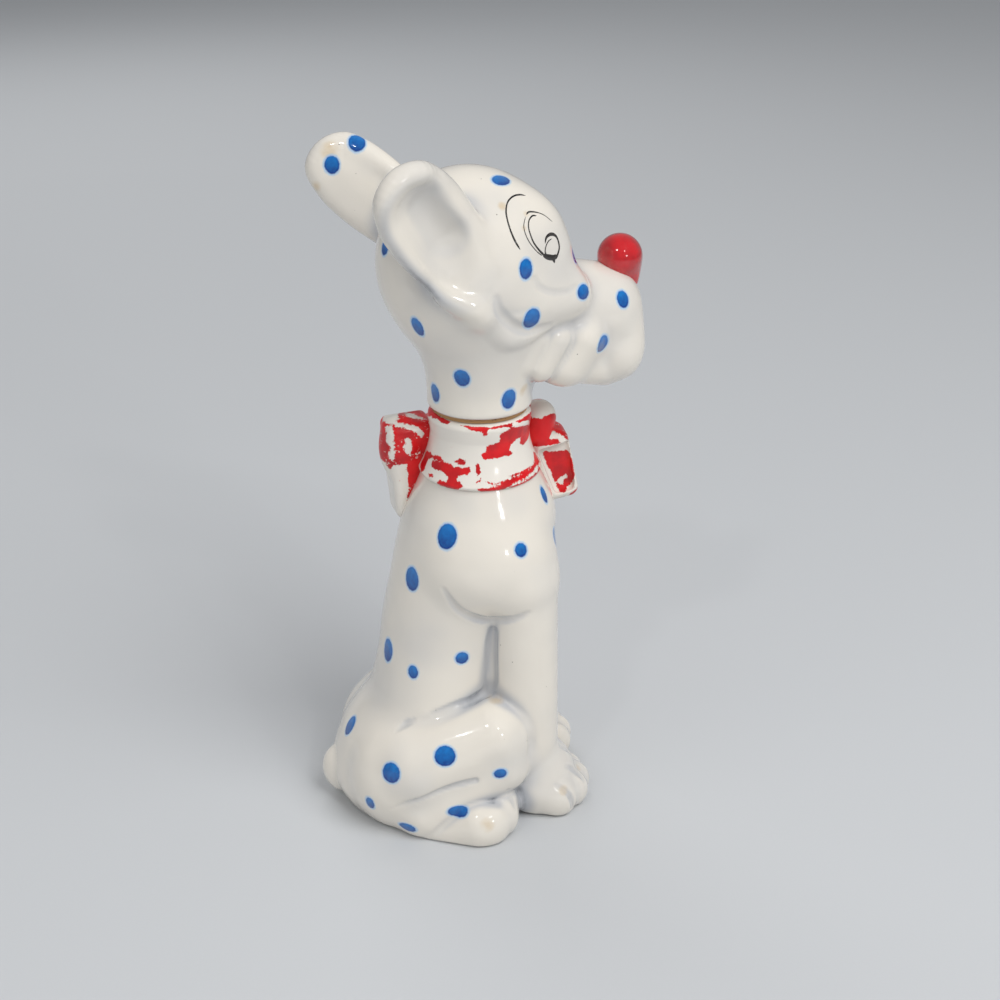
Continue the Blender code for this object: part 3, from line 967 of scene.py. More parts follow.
@dataclass
class Bottle:
    """Torso, shoulders, legs, paws and tail in one hollow glazed casting with its mouth."""

    mouth_height: float = 156.2
    torso: tuple = (
        (-6, -23, 27, 29), (10, -23, 28, 30), (28, -22, 27, 29), (47, -18, 24, 25.6), (62, -14.5, 24, 24.2),
        (77, -10.5, 26, 24.2), (92, -6, 27.4, 25.6), (105, -2.2, 28.6, 27.5), (117, -0.2, 27.6, 26.3),
        (127, 0.4, 23.6, 22.8), (136, 0, 19.0, 19.0), (142, 0, 14.5, 14.5), (165, 0, 14.5, 14.5),
    )
    cavity: tuple = (
        (5, -23, 24, 26), (10, -23, 24, 26), (28, -22, 23, 25), (47, -18, 20, 21.5), (62, -14.5, 20, 20.2),
        (77, -10.5, 22, 20.2), (92, -6, 23.4, 21.5), (105, -3, 23.8, 23.5), (117, -1.5, 22.2, 22.3),
        (127, -0.6, 16, 16), (135, 0, 11.6, 11.6), (170, 0, 11.6, 11.6),
    )
    shoulder: tuple = (
        Ball((1.5, 13.8, 102), (24.3, 18.2, 20.5), 4.5, (0, 4, 0)),
        Ball((9.5, 15.0, 95.5), (16.0, 15.3, 14.5), 3.0),
    )
    foreleg: Bar = Bar((12.6, 16.5, 92), (14.4, 18, 14), 13.0, 11.8, 1.5)
    gusset: Bar = Bar((3.0, 16.0, 86), (3.0, 16.0, 30), 5.2, 5.2, 1.0)
    haunch: tuple = (
        Ball((-26.5, 18, 19), (26, 19.5, 23.5), 2.5, (0, -12, 0)),
        Bar((-27, 22.5, 25), (-0.3, 25.5, 36.5), 17.0, 14.0, 2.5),
        Bar((-26, 29.4, 7.6), (2.3, 28.4, 24.8), 9.8, 11.0, 5.0),
        Bar((-24, 34.0, 1.0), (-6.6, 36.8, 5.8), 4.0, 10.2, 1.5),
        Ball((1.5, 31.5, 10), (7, 8, 9.0), 1.5),
    )
    hind_toes: tuple = ((1.8, 31.5, 5.6), (1.2, 37, 5.4), (-2.6, 41.0, 4.8))
    rump: tuple = (Ball((-25, 0, 18), (30, 34, 25), 10), Ball((-34, 0, 12), (23.2, 27, 15), 6))
    tail: Ball = Ball((-53.0, 0, 11.0), (8.6, 8.4, 10.0), 0.8, (0, -14, 0))
    instep: tuple = (
        Ball((18.5, 19.5, 9), (13.8, 13.3, 12.5), 5),
        Ball((20.6, 17.5, 14.5), (11.5, 10.5, 11.0), 5),
    )
    fore_toes: tuple = ((30.6, 10.6, 5.4), (32.0, 16.8, 5.4), (30.0, 23.3, 5.4), (24.6, 28.5, 5.2))
    grooves: tuple = (
        Rope(((-17.7, 26.3, 97.7, 0.9), (-15.9, 26.6, 94.4, 1.3), (-12.8, 26.6, 89.8, 1.7),
              (-8.2, 26.6, 86.3, 1.8), (-0.8, 25.2, 83.1, 1.7), (6.7, 29.3, 85.2, 1.3),
              (12.2, 30.7, 87.9, 0.8)), 1.4),
        Rope(((-35.9, 24.5, 41.1, 0.5), (-33.9, 24.2, 42.2, 0.9), (-31.7, 24.1, 43.4, 1.1),
              (-29.1, 24.6, 44.5, 0.5)), 1.2),
        Rope(((-22.3, 26.1, 47.2, 0.6), (-14.9, 26.0, 49.6, 1.0), (-8.2, 24.4, 50.3, 1.3),
              (-2.5, 21.2, 50.9, 1.6), (-0.5, 21.0, 52.7, 1.8), (0.4, 21.7, 57.1, 1.9),
              (0.4, 22.0, 65.4, 1.9), (0.5, 22.5, 73.6, 1.8), (0.7, 23.2, 78.2, 1.3)), 1.2),
        Rope(((-39.8, 35.0, 13.3, 0.5), (-34.4, 37.7, 17.0, 1.0), (-27.3, 39.7, 20.1, 1.2),
              (-20.2, 39.7, 23.0, 1.3), (-13.2, 39.7, 24.7, 1.4), (-8.6, 39.8, 25.5, 1.3)), 0.8),
        Rope(((3.9, 38.4, 18.7, 0.4), (5.6, 37.7, 14.6, 0.8), (6.7, 39.1, 11.6, 0.5)), 1.4),
        Rope(((23.2, 31.7, 14.8, 0.5), (25.9, 32.2, 13.0, 1.0), (28.2, 32.7, 10.7, 1.3),
              (29.7, 32.8, 6.8, 1.3), (30.0, 32.0, 3.6, 1.0)), 1.0),
        Rope(((28.4, 26.2, 19.0, 0.5), (31.6, 24.4, 15.8, 1.0), (34.3, 24.3, 13.3, 1.2),
              (35.7, 25.3, 11.4, 0.9)), 1.0),
        Rope(((27.0, 21.6, 25.3, 0.5), (29.8, 19.6, 22.5, 1.0), (31.5, 18.0, 20.2, 1.0)), 1.0),
    )
    dots: tuple = (
        Dot((-15.4, -22.4, 117.1), 3.6, 4.5), Dot((9.8, -28.2, 112.5), 2.3, 2.5),
        Dot((21.1, -12.1, 125.6), 1.7, 3.1), Dot((25.1, -13.4, 109.0), 3.2, 3.6),
        Dot((-27.2, -15.2, 97.8), 3.2, 4.5), Dot((-36.0, -9.2, 66.0), 2.9, 4.5),
        Dot((-28.2, -19.8, 62.1), 2.0, 2.5), Dot((-10.8, -23.9, 68.6), 2.4, 2.4),
        Dot((-50.9, -5.3, 32.6), 2.8, 3.9), Dot((-38.8, -34.2, 29.2), 3.6, 3.8),
        Dot((-19.4, -37.5, 36.4), 3.8, 3.7), Dot((0.5, -39.6, 27.8), 2.4, 1.9),
        Dot((-46.5, -29.8, 13.9), 1.9, 2.6), Dot((-15.2, -39.4, 13.3), 3.8, 2.2),
        Dot((-33.7, -36.1, 5.8), 3.5, 2.0), Dot((-11.7, 21.0, 113.7), 3.6, 4.5),
        Dot((5.2, 31.7, 100.3), 2.6, 2.8), Dot((-22.7, 14.7, 95.7), 3.2, 4.5),
        Dot((-31.4, 8.4, 70.8), 2.6, 4.1), Dot((-8.9, 23.5, 60.6), 2.4, 2.4),
        Dot((-38.9, 32.2, 32.7), 3.6, 3.8), Dot((-15.6, 39.0, 33.8), 3.8, 3.7),
        Dot((-44.9, 31.6, 15.7), 2.3, 3.2), Dot((-20.0, 38.1, 13.3), 3.5, 1.9),
        Dot((-27.3, 11.0, 110.0), 3.4, 4.6), Dot((-20.0, 22.5, 78.0), 3.2, 4.4),
        Dot((-37.0, 8.4, 62.0), 3.0, 4.2), Dot((-54.8, 8.5, 16.0), 2.6, 3.2),
        Dot((26.5, 6.6, 110.0), 3.2, 4.2), Dot((19.8, -2.8, 88.0), 2.4, 3.0),
        Dot((26.3, 12.3, 96.0), 2.8, 3.4),
    )
    stains: tuple = (
        (1.4, -25.4, 50.4, 4.2), (-0.7, -22.5, 50.2, 2.8), (25.8, -31.5, 12.1, 3.0), (33.4, -19.4, 12.5, 2.6),
        (33.8, 8.2, 2.1, 2.2), (-5.4, -45.1, 9.8, 4.0),
    )

    def form(self) -> Form:
        """Puts the casting's lumps together.

        Returns:
            The casting's form.
        """
        hind = tuple(toe(*spot, length=1.2, height=7.5) for spot in self.hind_toes)
        fore = (*self.instep, *(toe(*spot, length=1.8, height=7.6) for spot in self.fore_toes))
        legs = (self.gusset, self.foreleg, *self.shoulder, *self.haunch, *hind, *fore)
        return Form(
            (-66, -48, -3), (44, 48, 160),
            paired=(Trunk(self.torso), *self.rump, *legs),
            single=(self.tail,),
            carved=(Trunk(self.cavity, 1.2), Cut(0.0, 1.6), Cut(self.mouth_height, 1.0, above=True)),
            scored=self.grooves,
        )

    def build(self, finish: bpy.types.Material) -> None:
        """Skins, dots and places the casting.

        Args:
            finish: Its glaze.
        """
        piece = glazed("bottle_casting", self.form(), self.dots, self.stains, STANDING)
        thing = piece.make(finish)
        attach(thing, "bottle")
        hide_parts("bottle_body", "tail")


def glazed(name: str, form: Form, dots: tuple, stains: tuple, place: Place) -> Piece:
    """Skins a glazed casting and marks its dots, creases and stains.

    Args:
        name: The piece's name.
        form: Its form.
        dots: Its dots.
        stains: Warm stains, as (x, y, z, radius).
        place: Where the form stands.

    Returns:
        The piece.
    """
    points, faces = form.surface(cell_size())
    points = form.settle(points)
    normals = form.normals(points)
    values = dotted(form, points, dots)
    # Depth in creases and hollows, which the glaze paints as shade.
    values["crease"] = creases(form, points, normals)
    values["hollow"] = creases(form, points, normals, HOLLOW_REACH)
    stain = np.zeros(len(points))
    for x, y, z, radius in stains:
        far = np.linalg.norm(points - np.array((x, y, z)), axis=1) / radius
        stain = np.maximum(stain, np.clip(1 - far**2, 0, 1))
    values["stain"] = stain
    return Piece(name, points, faces.tolist(), place, normals, values)


@dataclass
class Head:
    """The head, ears, neck and stem in one glazed casting. Its heights are above the seat."""

    neck: tuple = (
        (-40, 0, 18.6, 18.6), (0, 0, 18.6, 18.6), (7, 0.2, 18.8, 18.8), (14, 0.8, 20.3, 20.0),
        (21, 1.0, 23.0, 21.6), (29, 0.5, 26, 23.5), (37, 0, 27, 25),
    )
    stem_radius: float = 8.0
    stem_length: float = 26.0
    vent_radius: float = 3.6
    far_ear_shift: tuple = (-3.5, -1.0, -4.0)
    far_ear_slim: float = 0.93
    skull: Ball = Ball((-4, 0, 51.5), (31.5, 29, 32.5), 5)
    brow: Ball = Ball((10, 8, 57), (18, 14, 18), 8, (0, 30, 0))
    muzzle: Bar = Bar((24, 0, 33), (44, 0, 30), 17, 16, 8)
    snout: Ball = Ball((50, 0, 18), (11.5, 14, 14), 5)
    chin: Ball = Ball((30, 0, 18), (20, 16, 11.5), 6)
    cheek: tuple = (
        Ball((8, 8.5, 44), (24, 17.5, 15), 3, (0, 12, 0)),
        Bar((19.0, 12.0, 53), (26.3, 13.0, 41.0), 9.0, 8.0, 5),
        Bar((26.3, 13.0, 41.0), (9, 14.2, 37.0), 8.0, 9.3, 3),
    )
    jowl: Rope = Rope(((-12.3, 23.5, 45.6, 5.5), (-4.9, 21.5, 38.1, 5.5), (0.7, 20.5, 32.2, 5.5),
                       (4.9, 19.5, 30.9, 5.4), (10.3, 18.5, 31.8, 4.8), (18.9, 16.5, 35.4, 4.0)), 1.4)
    eye_bag: Ball = Ball((19.5, 14.5, 48), (6.5, 7, 6.0), 1.5)
    flews: tuple = (
        Bar((24, 10.5, 14.5), (45, 5, 9.8), 6.2, 7.4, 3),
        Bar((32.5, 11.0, 24.0), (28.0, 10.2, 14.5), 8.9, 8.4, 2.6),
        Bar((22.0, 13.0, 26.5), (17.2, 12.6, 16.5), 7.4, 6.6, 1.2),
        Bar((14.0, 13.0, 27.5), (10.8, 13.0, 19.0), 7.2, 6.4, 1.2),
        Ball((49.0, 4.5, 15.5), (10.5, 10.5, 12.0), 1.6, (0, -12, 0)),
    )
    grooves: tuple = (
        Rope(((10.5, 27.4, 51.6, 0.9), (12.8, 26.8, 48.2, 1.2), (17.6, 25.5, 45.6, 1.3),
              (23.4, 23.8, 44.7, 1.2), (27.8, 22.2, 46.0, 0.9)), 1.2),
        Rope(((-3.9, 30.1, 46.9, 1.1), (-2.5, 29.5, 42.4, 1.6), (0.9, 28.1, 37.9, 1.8),
              (6.3, 26.2, 34.1, 1.8), (11.7, 24.8, 32.6, 1.6), (17.7, 23.0, 32.6, 1.1)), 1.6),
    )
    dots: tuple = (
        Dot((4.5, -9.9, 80.9), 3.7, 2.6), Dot((6.8, -27.3, 55.4), 2.5, 3.4),
        Dot((9.7, -25.4, 37.4), 3.0, 4.0), Dot((30.2, -20.7, 43.1), 3.0, 2.6),
        Dot((28.4, -15.9, 54.3), 1.7, 2.4), Dot((47.7, -14.1, 36.6), 2.4, 3.0),
        Dot((40.1, -17.8, 22.0), 3.1, 3.1), Dot((-33.9, -4.0, 60.5), 2.2, 2.8),
        Dot((-26.6, -14.4, 35.3), 2.2, 4.0), Dot((-11.9, -16.2, 16.1), 2.8, 3.3),
        Dot((-17.9, -5.0, 7.4), 2.5, 3.3), Dot((4.3, -18.4, 7.1), 2.8, 3.7),
        Dot((-33.6, 27.7, 88.2), 2.9, 3.3), Dot((-42.2, 29.3, 80.8), 2.6, 3.0),
        Dot((-3.5, 10.0, 82.0), 3.7, 2.6), Dot((8.5, 26.4, 58.3), 2.5, 3.4), Dot((6.7, 25.2, 35.5), 3.0, 4.0),
        Dot((31.0, 20.5, 40.1), 3.0, 2.6), Dot((44.6, 13.7, 38.4), 2.4, 3.0),
        Dot((41.5, 17.1, 24.0), 3.1, 3.1), Dot((-26.2, 16.7, 37.9), 2.2, 4.0),
        Dot((-13.8, 14.2, 14.8), 2.8, 3.3), Dot((7.2, 18.1, 10.2), 2.8, 3.7),
        Dot((-17.5, 10.1, 14.0), 2.6, 3.2), Dot((-12.0, 20.5, 27.0), 2.6, 3.4),
        Dot((-27.0, 15.0, 40.0), 3.0, 4.0), Dot((-31.0, 13.0, 60.0), 3.0, 3.8),
        Dot((-18.0, 10.0, 78.0), 2.6, 3.2), Dot((17.5, 7.0, 8.0), 2.4, 3.0),
    )
    stains: tuple = (
        (9.4, -20.5, 71.7, 1.9), (1.4, -19.7, 74.9, 2.4), (7.4, -23.5, 68.0, 1.4), (-42.4, 30.2, 85.7, 5.0),
        (-47.5, 31.7, 73.4, 3.0), (10.7, -15.9, 8.7, 3.5),
    )

    def ear(self, hand: int, shift: tuple) -> tuple[tuple, tuple]:
        """One ear, leaf shaped with a rolled rim, and the hollows of its cup.

        Args:
            hand: 1 for the left ear and -1 for the right.
            shift: How far its tip is moved from the right ear's place, in millimetres.

        Returns:
            The ear's lumps and its hollows.
        """

        def moved(x: float, y: float, z: float) -> tuple:
            """A point of the right ear's pattern, on this ear."""
            share = min(max((z - 50) / 30, 0), 1.2)
            return (x + shift[0] * share, (y + shift[1] * share) * hand, z + shift[2] * share)

        side = (0.3, 0.94 * hand, -0.03)
        slim = 1.0 if hand < 0 else self.far_ear_slim
        shell = Bar(moved(-12, 24, 57), moved(-30.5, 31.5, 79), 13.0 * slim, 12.2 * slim, 3.0, 0.5, side)
        rim = Rope(tuple((*moved(x, y, z), r * slim) for x, y, z, r in (
            (-8.9, 24, 41.8, 5.0), (-12.3, 25.5, 45.6, 5.0), (-19.5, 27.5, 50.6, 5.0), (-29.6, 31, 61.0, 5.0),
            (-36.2, 33.5, 69.6, 5.0), (-40.1, 35.5, 76.5, 5.0), (-41.6, 36.5, 83.4, 5.0),
            (-37.9, 36, 89.3, 4.8), (-31.8, 34.5, 91.2, 4.6), (-26.5, 30.0, 89.0, 4.0),
            (-19.0, 25.2, 82.8, 3.8), (-13.2, 22.6, 74.0, 3.8), (-9.4, 21.8, 66.7, 3.8),
            (-7.4, 21.6, 58.0, 4.2),
        )), 5.0)
        bowl = Bar(moved(-19, 39.0, 58), moved(-31.5, 44.5, 76), 13.0, 11.8, 8.0, 0.9, side)
        fold = Bar(moved(-20.0, 32.0, 68.5), moved(-28.5, 35.2, 81.0), 5.6, 4.2, 7.5, 1.0, side)
        return (shell, rim), (bowl, fold)

    def form(self) -> Form:
        """Puts the head's lumps together.

        Returns:
            The head's form, with its ears and stem.
        """
        near, near_cup = self.ear(-1, (0, 0, 0))
        far, far_cup = self.ear(1, self.far_ear_shift)
        vent = Bar((0, 0, -60), (0, 0, 6), self.vent_radius, self.vent_radius, 0.8)
        skirt = Cut(0.0, 1.6, beyond=self.stem_radius)
        return Form(
            (-62, -52, -30), (68, 52, 100),
            paired=(Trunk(self.neck), self.skull, self.brow, self.muzzle, self.snout, self.chin, *self.flews,
                    *self.cheek, self.jowl, self.eye_bag),
            single=(*near, *far),
            carved=(*near_cup, *far_cup, skirt, Cut(-self.stem_length, 1.0), vent),
            scored=self.grooves,
        )

    def build(self, finish: bpy.types.Material) -> None:
        """Skins, dots and places the casting.

        Args:
            finish: Its glaze.
        """
        thing = glazed("head_casting", self.form(), self.dots, self.stains, ON_SEAT).make(finish)
        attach(thing, "head")
        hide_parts("head_shell", "ear_left", "ear_right")


class Hand(Enum):
    """A side of the dog, as the sign of its Y."""

    LEFT = 1
    RIGHT = -1


@dataclass
class EyeLines:
    """The thin painted lines of one eye: brow, lids, ring and pupil."""

    hand: Hand
    height: float = 0.12
    widening: float = 1.2
    sides: int = 8
    strokes: tuple = (
        ((11.2, 14.8, 76.3, 0.12), (9.1, 15.1, 76.8, 0.30), (6.7, 16.1, 76.9, 0.28), (4.5, 17.6, 76.2, 0.24),
         (3.0, 19.3, 75.0, 0.22), (2.1, 21.2, 73.1, 0.24), (2.0, 23.0, 70.6, 0.24), (2.5, 24.6, 67.6, 0.26),
         (3.5, 25.8, 64.7, 0.30), (5.0, 26.5, 61.9, 0.24)),
        ((19.3, 18.4, 67.7, 0.10), (16.6, 18.5, 70.0, 0.12), (14.4, 18.8, 71.2, 0.16),
         (12.2, 19.3, 71.9, 0.24), (10.4, 19.8, 72.1, 0.26), (9.3, 20.7, 71.6, 0.16)),
        ((8.8, 21.2, 71.1, 0.10), (7.5, 23.1, 68.7, 0.12), (7.7, 24.4, 66.1, 0.14), (9.0, 25.1, 63.2, 0.14),
         (11.3, 25.2, 60.3, 0.14), (13.4, 24.8, 58.5, 0.14)),
        ((13.1, 19.9, 70.7, 0.20), (11.5, 20.4, 70.9, 0.24), (9.9, 21.6, 69.9, 0.20), (9.2, 23.0, 68.0, 0.20),
         (9.5, 24.0, 65.8, 0.22), (10.4, 24.7, 63.2, 0.26), (12.2, 24.8, 60.6, 0.30),
         (14.2, 24.5, 58.5, 0.40)),
        ((14.9, 23.3, 62.1, 0.20), (15.6, 22.5, 63.7, 0.36), (17.0, 21.5, 64.3, 0.46),
         (18.4, 20.8, 64.2, 0.48), (19.7, 20.3, 63.5, 0.44), (20.6, 20.3, 62.0, 0.34),
         (20.8, 21.1, 59.7, 0.30), (20.0, 22.1, 57.8, 0.32), (18.8, 22.9, 56.2, 0.40)),
        ((17.9, 21.6, 62.9, 0.14), (16.4, 22.5, 62.5, 0.16), (15.2, 23.5, 61.2, 0.18),
         (14.7, 24.0, 59.6, 0.22), (15.1, 24.1, 58.4, 0.30)),
        ((13.7, 24.6, 58.9, 0.36), (14.8, 24.3, 58.1, 0.66), (16.3, 23.7, 57.4, 0.80),
         (18.0, 23.1, 57.0, 0.74), (19.5, 22.4, 57.5, 0.40)),
        ((17.3, 23.3, 57.3, 0.60), (18.1, 23.2, 56.2, 0.50), (18.4, 23.2, 55.1, 0.24)),
    )

    def stroke(self, form: Form, path: tuple) -> tuple[np.ndarray, list]:
        """Lays one closed, flat stroke on the casting.

        Args:
            form: The head.
            path: Its (x, y, z, half width) points, for the left side.

        Returns:
            The points and the faces.
        """
        rows = smooth_path(np.array(path, dtype=float) * (1, self.hand.value, 1, 1), 6)
        line = form.settle(rows[:, :3], 6)
        normal = form.normals(line)
        ahead = np.gradient(line, axis=0)
        ahead = ahead / np.linalg.norm(ahead, axis=1)[:, None]
        side = np.cross(normal, ahead)
        ends = np.minimum(np.arange(len(line)), np.arange(len(line))[::-1])
        wide = rows[:, 3] * self.widening * np.clip(0.25 + 0.4 * ends, 0, 1)
        n = self.sides
        rings = [line + side * (wide * cos(a))[:, None] + normal * self.height * sin(a)
                 for a in np.linspace(0, 2 * pi, n, endpoint=False)]
        points = np.stack(rings, 1).reshape(-1, 3)
        last = (len(line) - 1) * n
        faces = [[r * n + k, r * n + (k + 1) % n, r * n + n + (k + 1) % n, r * n + n + k]
                 for r in range(len(line) - 1) for k in range(n)]
        return points, faces + [list(range(n - 1, -1, -1)), list(range(last, last + n))]

    def build(self, form: Form, finish: bpy.types.Material) -> None:
        """Lays and places all the strokes.

        Args:
            form: The head.
            finish: Their paint.
        """
        points, faces = np.zeros((0, 3)), []
        for path in self.strokes:
            more, rings = self.stroke(form, path)
            faces += [[k + len(points) for k in ring] for ring in rings]
            points = np.concatenate([points, more])
        thing = Piece(f"eye_lines_{self.hand.name.lower()}", points, faces, ON_SEAT).make(finish)
        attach(thing, "head")


@dataclass
class Nose:
    """The red ball nose with its drop-shaped root."""

    radius: float = 8.0

    def form(self) -> Form:
        """Puts the nose's lumps together.

        Returns:
            The nose's form.
        """
        r = self.radius
        ball = Ball((52.3, 0, 47.6), (r, r, r))
        root = Ball((55.6, 0, 40.0), (0.5 * r, 0.5 * r, 0.75 * r), 4)
        return Form((40, -12, 28), (66, 12, 60), single=(ball, root))

    def build(self, finish: bpy.types.Material) -> None:
        """Skins and places the nose.

        Args:
            finish: Its gloss.
        """
        form = self.form()
        points, faces = form.surface(cell_size(0.6))
        points = form.settle(points)
        thing = Piece("nose_gloss_ball", points, faces.tolist(), ON_SEAT, form.normals(points)).make(finish)
        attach(thing, "head")
        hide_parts("nose_ball")


@dataclass(frozen=True)
class Area:
    """Paint inside a drawn outline of (along, height) points. A cover of 1 is full and 0 is bare."""

    cover: float
    outline: tuple
    soft: float = 0.7

    def laid_on(self, before: np.ndarray, flat: np.ndarray) -> np.ndarray:
        """Lays this area over the cover that is there.

        Args:
            before: The cover at each point.
            flat: The points' places in the plane of the outline.

        Returns:
            The new cover.
        """
        corners = np.array(self.outline, dtype=float)
        far = np.full(len(flat), FAR)
        inside = np.zeros(len(flat), dtype=bool)
        for first, second in zip(corners, np.roll(corners, -1, axis=0)):
            along = second - first
            away = flat - first
            share = np.clip(away @ along / max(along @ along, 1e-9), 0, 1)
            far = np.minimum(far, np.linalg.norm(away - share[:, None] * along, axis=1))
            spans = (first[1] > flat[:, 1]) != (second[1] > flat[:, 1])
            reach = first[0] + (flat[:, 1] - first[1]) * along[0] / (along[1] if along[1] else 1e-9)
            inside ^= spans & (flat[:, 0] < reach)
        share = np.clip(0.5 + np.where(inside, far, -far) / (2 * self.soft), 0, 1)
        return before + (self.cover - before) * share


def painted(flat: np.ndarray, areas: tuple, base: float) -> np.ndarray:
    """Lays areas of paint over each other, in order.

    Args:
        flat: The points' places in the plane of the outlines.
        areas: The areas.
        base: The cover before the first.

    Returns:
        The cover, 0.5 at the edge of the paint.
    """
    cover = np.full(len(flat), float(base))
    for area in areas:
        cover = area.laid_on(cover, flat)
    return cover


@dataclass
class Collar:
    """The flared band round the neck."""

    ledge: float = 132.5
    top: float = 156.2
    inner: float = 14.8
    waist_height: float = 148.5
    waist_radius: float = 17.6
    rim_radius: float = 18.4
    flare: float = 4.3
    lip: float = 1.6
    crown: float = 2.6
    throat_height: float = 136.5
    throat_radius: float = 18.2
    foot_radius: float = 19.6
    face_steps: int = 24
    turn_steps: int = 260
    bare: float = 0.1
    areas: tuple = (
        Area(0.95, ((-31.9, 155.3), (-31.2, 157.6), (-24.2, 157.9), (-19.0, 157.9), (-14.7, 157.6),
                   (-14.8, 155.9), (-18.1, 155.5), (-20.8, 156.0), (-23.1, 155.6), (-25.1, 155.7),
                   (-27.1, 154.1), (-28.7, 153.8))),
        Area(0.95, ((-10.4, 156.7), (-6.1, 156.3), (0.5, 156.1), (6.4, 156.0), (13.2, 156.1), (20.8, 155.7),
                   (25.5, 154.3), (23.0, 150.6), (17.9, 153.3), (12.5, 154.6), (9.6, 154.0), (6.2, 155.1),
                   (2.9, 154.9), (0.2, 154.9), (-0.5, 152.4), (-1.7, 152.5), (-2.1, 154.4), (-5.2, 154.5),
                   (-7.0, 155.7))),
        Area(0.10, ((9.1, 155.2), (11.0, 155.7), (14.0, 154.4), (12.3, 153.8), (9.6, 153.9))),
        Area(0.10, ((14.5, 154.7), (19.1, 153.6), (20.6, 152.2), (15.2, 153.3))),
        Area(1.00, ((4.7, 152.7), (9.0, 153.9), (14.9, 152.9), (22.3, 150.6), (24.3, 147.8), (24.1, 146.6),
                   (20.4, 145.7), (15.3, 145.5), (13.9, 146.5), (14.9, 148.4), (11.7, 148.7), (9.6, 147.5),
                   (8.1, 145.7), (9.6, 144.4), (8.5, 143.3), (6.2, 144.2), (4.5, 143.4), (1.4, 143.6),
                   (-1.7, 143.7), (-2.2, 145.3), (-0.5, 146.0), (-0.3, 148.0), (1.5, 148.7), (3.4, 149.0),
                   (4.7, 150.2), (4.1, 151.9))),
        Area(0.90, ((-22.4, 139.4), (-20.0, 139.8), (-17.4, 140.8), (-14.2, 140.9), (-11.9, 140.4),
                   (-9.8, 140.3), (-8.4, 139.9), (-8.6, 138.2), (-9.9, 137.5), (-10.3, 136.6), (-8.8, 135.9),
                   (-8.1, 134.3), (-9.8, 133.2), (-12.1, 132.9), (-14.5, 132.8), (-15.8, 132.6),
                   (-17.2, 133.5), (-15.9, 134.9), (-13.8, 135.0), (-13.1, 136.5), (-14.4, 137.1),
                   (-16.3, 137.6), (-19.6, 137.4), (-21.3, 137.9))),
        Area(0.85, ((-29.7, 135.2), (-29.7, 137.4), (-30.2, 140.1), (-25.1, 141.7), (-22.5, 141.4),
                   (-18.6, 142.4), (-16.5, 141.3), (-18.7, 140.6), (-22.2, 140.7), (-24.6, 139.3),
                   (-25.2, 137.3), (-24.4, 135.6), (-26.0, 133.7))),
        Area(0.90, ((-11.9, 142.3), (-9.9, 143.7), (-7.9, 142.7), (-8.3, 141.3), (-10.5, 141.5))),
        Area(0.90, ((-7.9, 140.5), (-6.3, 140.7), (-6.0, 139.3), (-7.2, 138.1), (-8.6, 139.0),
                   (-8.4, 140.0))),
        Area(0.95, ((-4.4, 141.5), (-3.3, 142.3), (-2.7, 140.8), (-2.5, 138.9), (-3.6, 138.6),
                   (-4.1, 139.8))),
        Area(0.95, ((-21.8, 135.3), (-20.1, 135.8), (-19.1, 135.0), (-20.7, 134.5))),
        Area(0.90, ((-4.2, 136.0), (-2.7, 137.2), (-2.8, 136.2), (-3.7, 135.6))),
        Area(0.95, ((-3.3, 133.9), (-1.1, 134.3), (1.9, 134.2), (3.7, 134.5), (5.9, 135.4), (6.6, 134.4),
                   (4.6, 133.1), (3.8, 132.5), (1.1, 132.6), (-1.3, 132.6), (-2.4, 132.5))),
        Area(0.95, ((-10.9, 132.5), (-8.9, 132.7), (-5.9, 132.5), (-6.0, 132.7), (-8.3, 132.6),
                   (-10.0, 132.5))),
        Area(0.85, ((-1.4, 136.2), (2.0, 135.5), (4.9, 136.0), (9.5, 136.2), (13.5, 136.5), (17.2, 137.0),
                   (20.1, 137.5), (21.7, 136.0), (18.2, 135.5), (13.5, 135.0), (9.5, 134.5), (6.4, 134.5),
                   (4.5, 134.2), (3.3, 135.1), (1.1, 135.0), (-0.6, 135.5))),
        Area(0.85, ((6.3, 133.5), (9.3, 134.0), (13.5, 134.1), (18.3, 134.5), (22.2, 135.0), (23.1, 133.2),
                   (18.9, 132.6), (13.6, 132.6), (10.3, 132.7), (8.2, 132.5), (6.4, 132.7))),
        Area(0.90, ((22.9, 140.2), (26.1, 138.2), (25.1, 135.4), (21.6, 135.3), (21.0, 137.4))),
        Area(0.80, ((5.9, 137.5), (9.4, 137.4), (13.3, 137.5), (18.1, 137.7), (14.6, 136.5), (10.2, 136.5),
                   (6.5, 136.7))),
        Area(0.00, ((-2.6, 142.9), (-2.2, 138.5), (2.3, 137.2), (5.9, 137.5), (9.5, 137.6), (13.4, 137.7),
                   (18.1, 138.0), (21.9, 139.1), (22.8, 141.8), (19.9, 143.8), (15.4, 144.2), (9.7, 143.0),
                   (4.5, 143.1), (1.4, 143.3), (-2.1, 143.2))),
        Area(0.90, ((24.0, 133.0), (30.0, 137.0), (37.0, 139.0), (45.0, 136.0), (52.0, 138.0), (58.0, 135.0),
                   (58.0, 131.0), (24.0, 131.0))),
        Area(0.90, ((28.0, 150.0), (36.0, 148.0), (44.0, 152.0), (50.0, 149.0), (56.0, 151.0), (60.0, 158.0),
                   (28.0, 160.0))),
        Area(0.85, ((-32.0, 150.0), (-38.0, 147.0), (-46.0, 149.0), (-52.0, 152.0), (-60.0, 151.0),
                   (-60.0, 160.0), (-32.0, 160.0))),
        Area(0.85, ((-31.0, 131.0), (-33.0, 137.0), (-39.0, 140.0), (-44.0, 137.0), (-50.0, 139.0),
                   (-60.0, 136.0), (-60.0, 131.0))),
        Area(0.90, ((38.0, 141.0), (44.0, 140.0), (47.0, 144.0), (42.0, 147.0), (37.0, 145.0))),
    )

